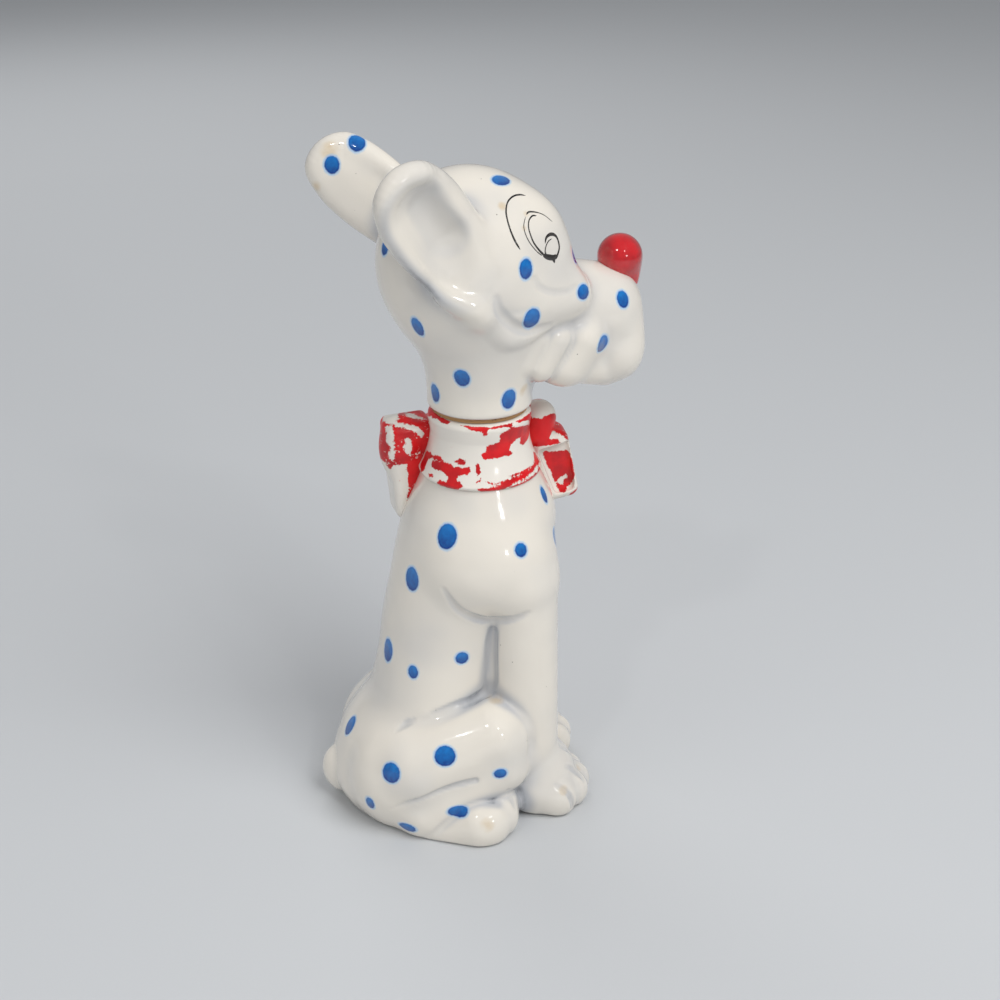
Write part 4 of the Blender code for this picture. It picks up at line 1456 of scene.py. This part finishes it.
    def outline(self) -> list:
        """Draws the band's section, from its lip up the face, over the crown and down inside.

        Returns:
            The (radius, height) points.
        """
        lip, crown = self.lip, self.crown
        start, rise = self.ledge + lip, self.waist_height - self.ledge - lip
        shares = [step / self.face_steps for step in range(self.face_steps + 1)]
        face = [(self.waist_radius + self.flare * (1 - share) ** 1.9, start + rise * share)
                for share in shares]
        edge = self.waist_radius + self.flare - lip
        low = [(edge + lip * sin(radians(a)), start - lip * cos(radians(a))) for a in (0, 18, 36, 54, 72)]
        rim, peak = self.rim_radius - crown, self.top - crown
        over = [(rim + crown * cos(radians(a)), peak + crown * sin(radians(a))) for a in range(0, 91, 10)]
        throat = self.throat_height
        inside = [(self.inner, self.top), (self.inner, throat), (self.throat_radius, throat),
                  (self.foot_radius, self.ledge)]
        return low + face + over + inside

    def unrolled(self, points: np.ndarray) -> np.ndarray:
        """Unrolls points of the band and opens its crown out.

        Args:
            points: The points.

        Returns:
            Their (along, height), with 0 along at the dog's right.
        """
        around = np.arctan2(points[:, 0], -points[:, 1])
        inward = np.clip(self.rim_radius - np.hypot(points[:, 0], points[:, 1]), 0, 3)
        height = points[:, 2] + inward * (points[:, 2] > self.top - self.crown)
        return np.column_stack([around * self.rim_radius, height])

    def build(self, finish: bpy.types.Material) -> None:
        """Turns and places the band.

        Args:
            finish: Its paint.
        """
        points, faces = lathe(self.outline(), self.turn_steps, 0.5)
        paint = painted(self.unrolled(points), self.areas, self.bare)
        # Painted shade: the white is darkened along the band's inner top edge, in the recess under the head.
        inside = np.hypot(points[:, 0], points[:, 1]) < self.inner + 0.8
        crease = np.clip(1 - np.abs(points[:, 2] - self.top) / 0.8, 0, 1) * inside
        piece = Piece("collar_glaze", points, faces, values={"paint": paint, "crease": crease})
        thing = piece.make(finish)
        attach(thing, "bottle")
        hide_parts("collar_band")


@dataclass
class Bow:
    """The bow on the dog's left: a knot, a loop fore and aft, and a roll over the front loop.

    Its paint is laid on flat from the side, a little from above.
    """

    base: float = 0.7
    lean: tuple = (-0.18, 0.47)
    areas: tuple = (
        Area(0.05, ((-35.2, 153.9), (-34.5, 156.7), (-31.9, 157.6), (-29.9, 156.4), (-29.3, 153.5),
                   (-30.9, 152.8), (-31.9, 152.1), (-34.0, 153.1))),
        Area(0.15, ((-27.3, 156.4), (-24.6, 155.6), (-20.4, 153.5), (-21.9, 153.3), (-25.0, 154.3))),
        Area(0.10, ((-30.9, 152.4), (-27.8, 151.7), (-24.2, 150.7), (-22.1, 149.5), (-20.0, 147.6),
                   (-21.2, 146.4), (-23.3, 148.3), (-26.7, 150.1), (-30.0, 150.9))),
        Area(0.10, ((-33.9, 150.8), (-31.7, 151.2), (-31.1, 147.8), (-31.2, 145.1), (-30.6, 140.8),
                   (-31.1, 137.3), (-32.8, 138.8), (-32.0, 143.0), (-33.9, 145.4), (-32.8, 147.9))),
        Area(0.10, ((-26.2, 145.9), (-24.7, 145.3), (-24.3, 142.5), (-24.9, 139.4), (-26.5, 139.5),
                   (-27.0, 142.1))),
        Area(0.10, ((-36.6, 139.1), (-35.3, 137.8), (-32.7, 134.5), (-30.5, 135.8), (-27.9, 135.4),
                   (-26.4, 136.3), (-26.1, 131.7), (-26.1, 128.4), (-26.8, 122.9), (-28.2, 114.0),
                   (-34.1, 120.1), (-35.8, 132.5))),
        Area(0.90, ((-26.4, 137.2), (-22.0, 137.4), (-22.0, 132.5), (-23.7, 129.3), (-25.2, 128.1),
                   (-26.1, 128.4), (-25.7, 131.7), (-26.5, 133.9))),
        Area(0.05, ((19.6, 139.8), (21.4, 145.2), (26.0, 145.4), (29.8, 143.1), (32.8, 140.5), (35.0, 134.8),
                   (37.3, 126.8), (36.3, 122.4), (32.2, 118.1), (28.0, 115.1), (21.6, 124.7), (19.4, 132.7))),
        Area(0.95, ((18.8, 142.4), (21.4, 144.6), (24.6, 145.0), (26.1, 144.1), (25.7, 142.6), (28.2, 141.9),
                   (29.5, 140.2), (26.6, 139.4), (20.9, 139.1), (18.8, 140.2))),
        Area(0.05, ((25.0, 142.6), (28.2, 142.5), (26.1, 141.9))),
        Area(1.00, ((22.7, 137.5), (26.2, 136.9), (32.1, 137.1), (33.5, 135.0), (34.4, 131.6), (35.2, 127.0),
                   (33.9, 123.7), (32.3, 122.6), (31.7, 119.8), (29.6, 120.6), (28.0, 124.2), (26.3, 128.8),
                   (24.4, 133.5))),
        Area(0.10, ((28.3, 124.7), (29.5, 126.6), (32.0, 127.9), (32.9, 126.5), (31.1, 125.1), (31.0, 123.3),
                   (29.6, 123.9))),
        Area(1.00, ((18.8, 150.4), (22.9, 149.9), (25.6, 151.6), (27.6, 151.8), (27.2, 147.1), (25.3, 143.7),
                   (21.4, 142.9), (18.8, 143.1))),
        Area(0.05, ((18.7, 157.9), (27.9, 157.8), (27.8, 151.9), (25.6, 151.8), (22.9, 150.1),
                   (18.8, 150.6))),
    )

    def form(self) -> Form:
        """Puts the bow's lumps together.

        Returns:
            The bow's form.
        """
        knot = Slab((5, 27.5, 142), (8.5, 6.5, 9.0), 3.0, 1.5)
        rear = Slab((-24.2, 9.8, 131.0), (7.8, 7.2, 18.6), 3.0, 3.0, (0, -2, 8), (1.0, 0.5))
        bulge = Ball((-27.0, 8.5, 139), (8.2, 7.0, 12.0), 3.0)
        rear_mid = Slab((-17, 20, 132.5), (13, 6.5, 11.5), 3.5, 4.0, (0, 0, 40))
        front = Slab((28.6, 11, 128.0), (7.4, 7.0, 13.4), 3.8, 3.0, (0, -12, 0))
        front_mid = Slab((21, 19.5, 131), (10, 6.5, 10), 3.5, 4.0, (0, 0, -42))
        roll = Bar((22.5, 9.5, 140), (23.5, 10.5, 146.5), 6.2, 6.3, 1.2)
        opening = Slab((30.2, 3.2, 127.6), (4.9, 4.4, 9.6), 1.8, 0.7, (0, -14, 0), (1.2, 0))
        loops = (knot, rear, bulge, rear_mid, front, front_mid, roll)
        return Form((-42, -6, 104), (44, 44, 160), single=loops, carved=(opening,))

    def build(self, finish: bpy.types.Material) -> None:
        """Skins and places the bow.

        Args:
            finish: Its paint.
        """
        form = self.form()
        points, faces = form.surface(cell_size(0.7))
        points = form.settle(points)
        normals = form.normals(points)
        flat = points[:, [0, 2]] + np.outer(points[:, 1], self.lean)
        # The crease depth darkens the bare white between the loops as painted shade.
        values = {"paint": painted(flat, self.areas, self.base), "crease": creases(form, points, normals)}
        thing = Piece("bow_casting", points, faces.tolist(), STANDING, normals, values).make(finish)
        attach(thing, "bottle")
        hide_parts("bow_knot", "bow_front_wing", "bow_front_roll", "bow_rear_wing")


@dataclass
class CorkSleeve:
    """The cork round the stem, with the thin rim that shows under the head."""

    rim_radius: float = 16.9
    outer: float = 11.3
    inner: float = 8.3
    top: float = 157.7
    rim_thickness: float = 1.2
    length: float = 20.0
    chamfer: float = 0.8
    turn_steps: int = 150

    def build(self, finish: bpy.types.Material) -> None:
        """Turns and places the sleeve.

        Args:
            finish: Its cork.
        """
        under = self.top - self.rim_thickness
        low = under - self.length
        shank = [(self.inner, low), (self.outer - self.chamfer, low), (self.outer, low + self.chamfer),
                 (self.outer, under)]
        rim = [(self.rim_radius, under), (self.rim_radius, self.top), (self.inner, self.top)]
        points, faces = lathe(shank + rim, self.turn_steps, 0.6)
        thing = Piece("cork_rind", points, faces).make(finish)
        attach(thing, "cork")
        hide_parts("cork_sleeve")


# The studio


@dataclass
class Studio:
    """A plain pale floor, soft lights and the camera of the photograph."""

    eye: tuple = (-0.0874, -0.5375, 0.3736)
    aim: tuple = (0.007, -0.002, 0.120)
    lens: float = 59.76
    ground: tuple = tint(206, 208, 210)
    ground_grain: tuple = tint(186, 189, 192)
    reach: float = 4.0
    sky: tuple = (0.82, 0.84, 0.87, 1)
    sky_strength: float = 0.38
    spark_size: float = 0.3
    lights: tuple = (
        ("key_light", (0.55, -0.75, 1.35), 1.1, 14.5),
        ("fill_light", (-1.3, -0.8, 0.8), 1.6, 3.5),
        ("rear_light", (-0.3, 1.3, 1.1), 1.4, 6.0),
        ("spark_light", (0.50, -1.14, 0.50), 0.07, 0.9),
        ("glint_light", (-0.42, -0.70, 1.05), 0.08, 0.9),
        ("window_light", (0.34, -1.04, 1.04), 0.09, 0.9),
    )

    def floor(self) -> None:
        """Lays the floor."""
        mesh = bpy.data.meshes.new("studio_floor")
        r = self.reach
        mesh.from_pydata([(-r, -r, 0), (r, -r, 0), (r, r, 0), (-r, r, 0)], [], [(0, 1, 2, 3)])
        g = Graph("studio_floor")
        grain = g.mix(g.noise(0.8, 3).above(0.3, 0.7) * 0.05, self.ground, self.ground_grain)
        mesh.materials.append(g.finish(Base_Color=grain, Roughness=0.75 + g.noise(3, 2) * 0.1))
        thing = bpy.data.objects.new("studio_floor", mesh)
        bpy.context.scene.collection.objects.link(thing)

    def light(self, name: str, spot: tuple, size: float, power: float) -> None:
        """Hangs a round soft light that points at the decanter. Only the small ones show in the gloss.

        Args:
            name: Its name.
            spot: Where it hangs, in metres.
            size: Its width in metres.
            power: Its power in watts.
        """
        lamp = bpy.data.lights.new(name, "AREA")
        lamp.shape = "DISK"
        lamp.size = size
        lamp.energy = power
        thing = bpy.data.objects.new(name, lamp)
        bpy.context.scene.collection.objects.link(thing)
        thing.location = spot
        thing.rotation_euler = (Vector(self.aim) - Vector(spot)).to_track_quat("-Z", "Y").to_euler()
        thing.visible_glossy = size < self.spark_size

    def build(self) -> None:
        """Sets up the floor, the lights, the world and the camera."""
        self.floor()
        for name, spot, size, power in self.lights:
            self.light(name, spot, size, power)
        world = bpy.data.worlds.new("studio_world")
        bpy.context.scene.world = world
        world.use_nodes = True
        sky = world.node_tree.nodes["Background"]
        sky.inputs["Color"].default_value = self.sky
        sky.inputs["Strength"].default_value = self.sky_strength
        camera = bpy.data.cameras.new("camera")
        camera.lens = self.lens
        camera.sensor_width = 36
        camera.clip_start = 0.01
        thing = bpy.data.objects.new("camera", camera)
        bpy.context.scene.collection.objects.link(thing)
        thing.location = self.eye
        thing.rotation_euler = (Vector(self.aim) - Vector(self.eye)).to_track_quat("-Z", "Y").to_euler()
        bpy.context.scene.camera = thing
        bpy.context.scene.view_settings.view_transform = "Standard"


def main() -> None:
    """Builds the studio, then each sub-assembly in order."""
    logging.basicConfig(level=logging.INFO, format="%(name)s: %(message)s")
    Studio().build()
    glaze = SpottedGlaze().material()
    paint = WornPaint().material()
    Bottle().build(glaze)
    Collar().build(paint)
    Bow().build(paint)
    CorkSleeve().build(Cork().material())
    head = Head()
    head.build(glaze)
    lines = BlackLine().material()
    for hand in Hand:
        EyeLines(hand).build(head.form(), lines)
    Nose().build(RedGloss().material())


if __name__ == "__main__":
    main()
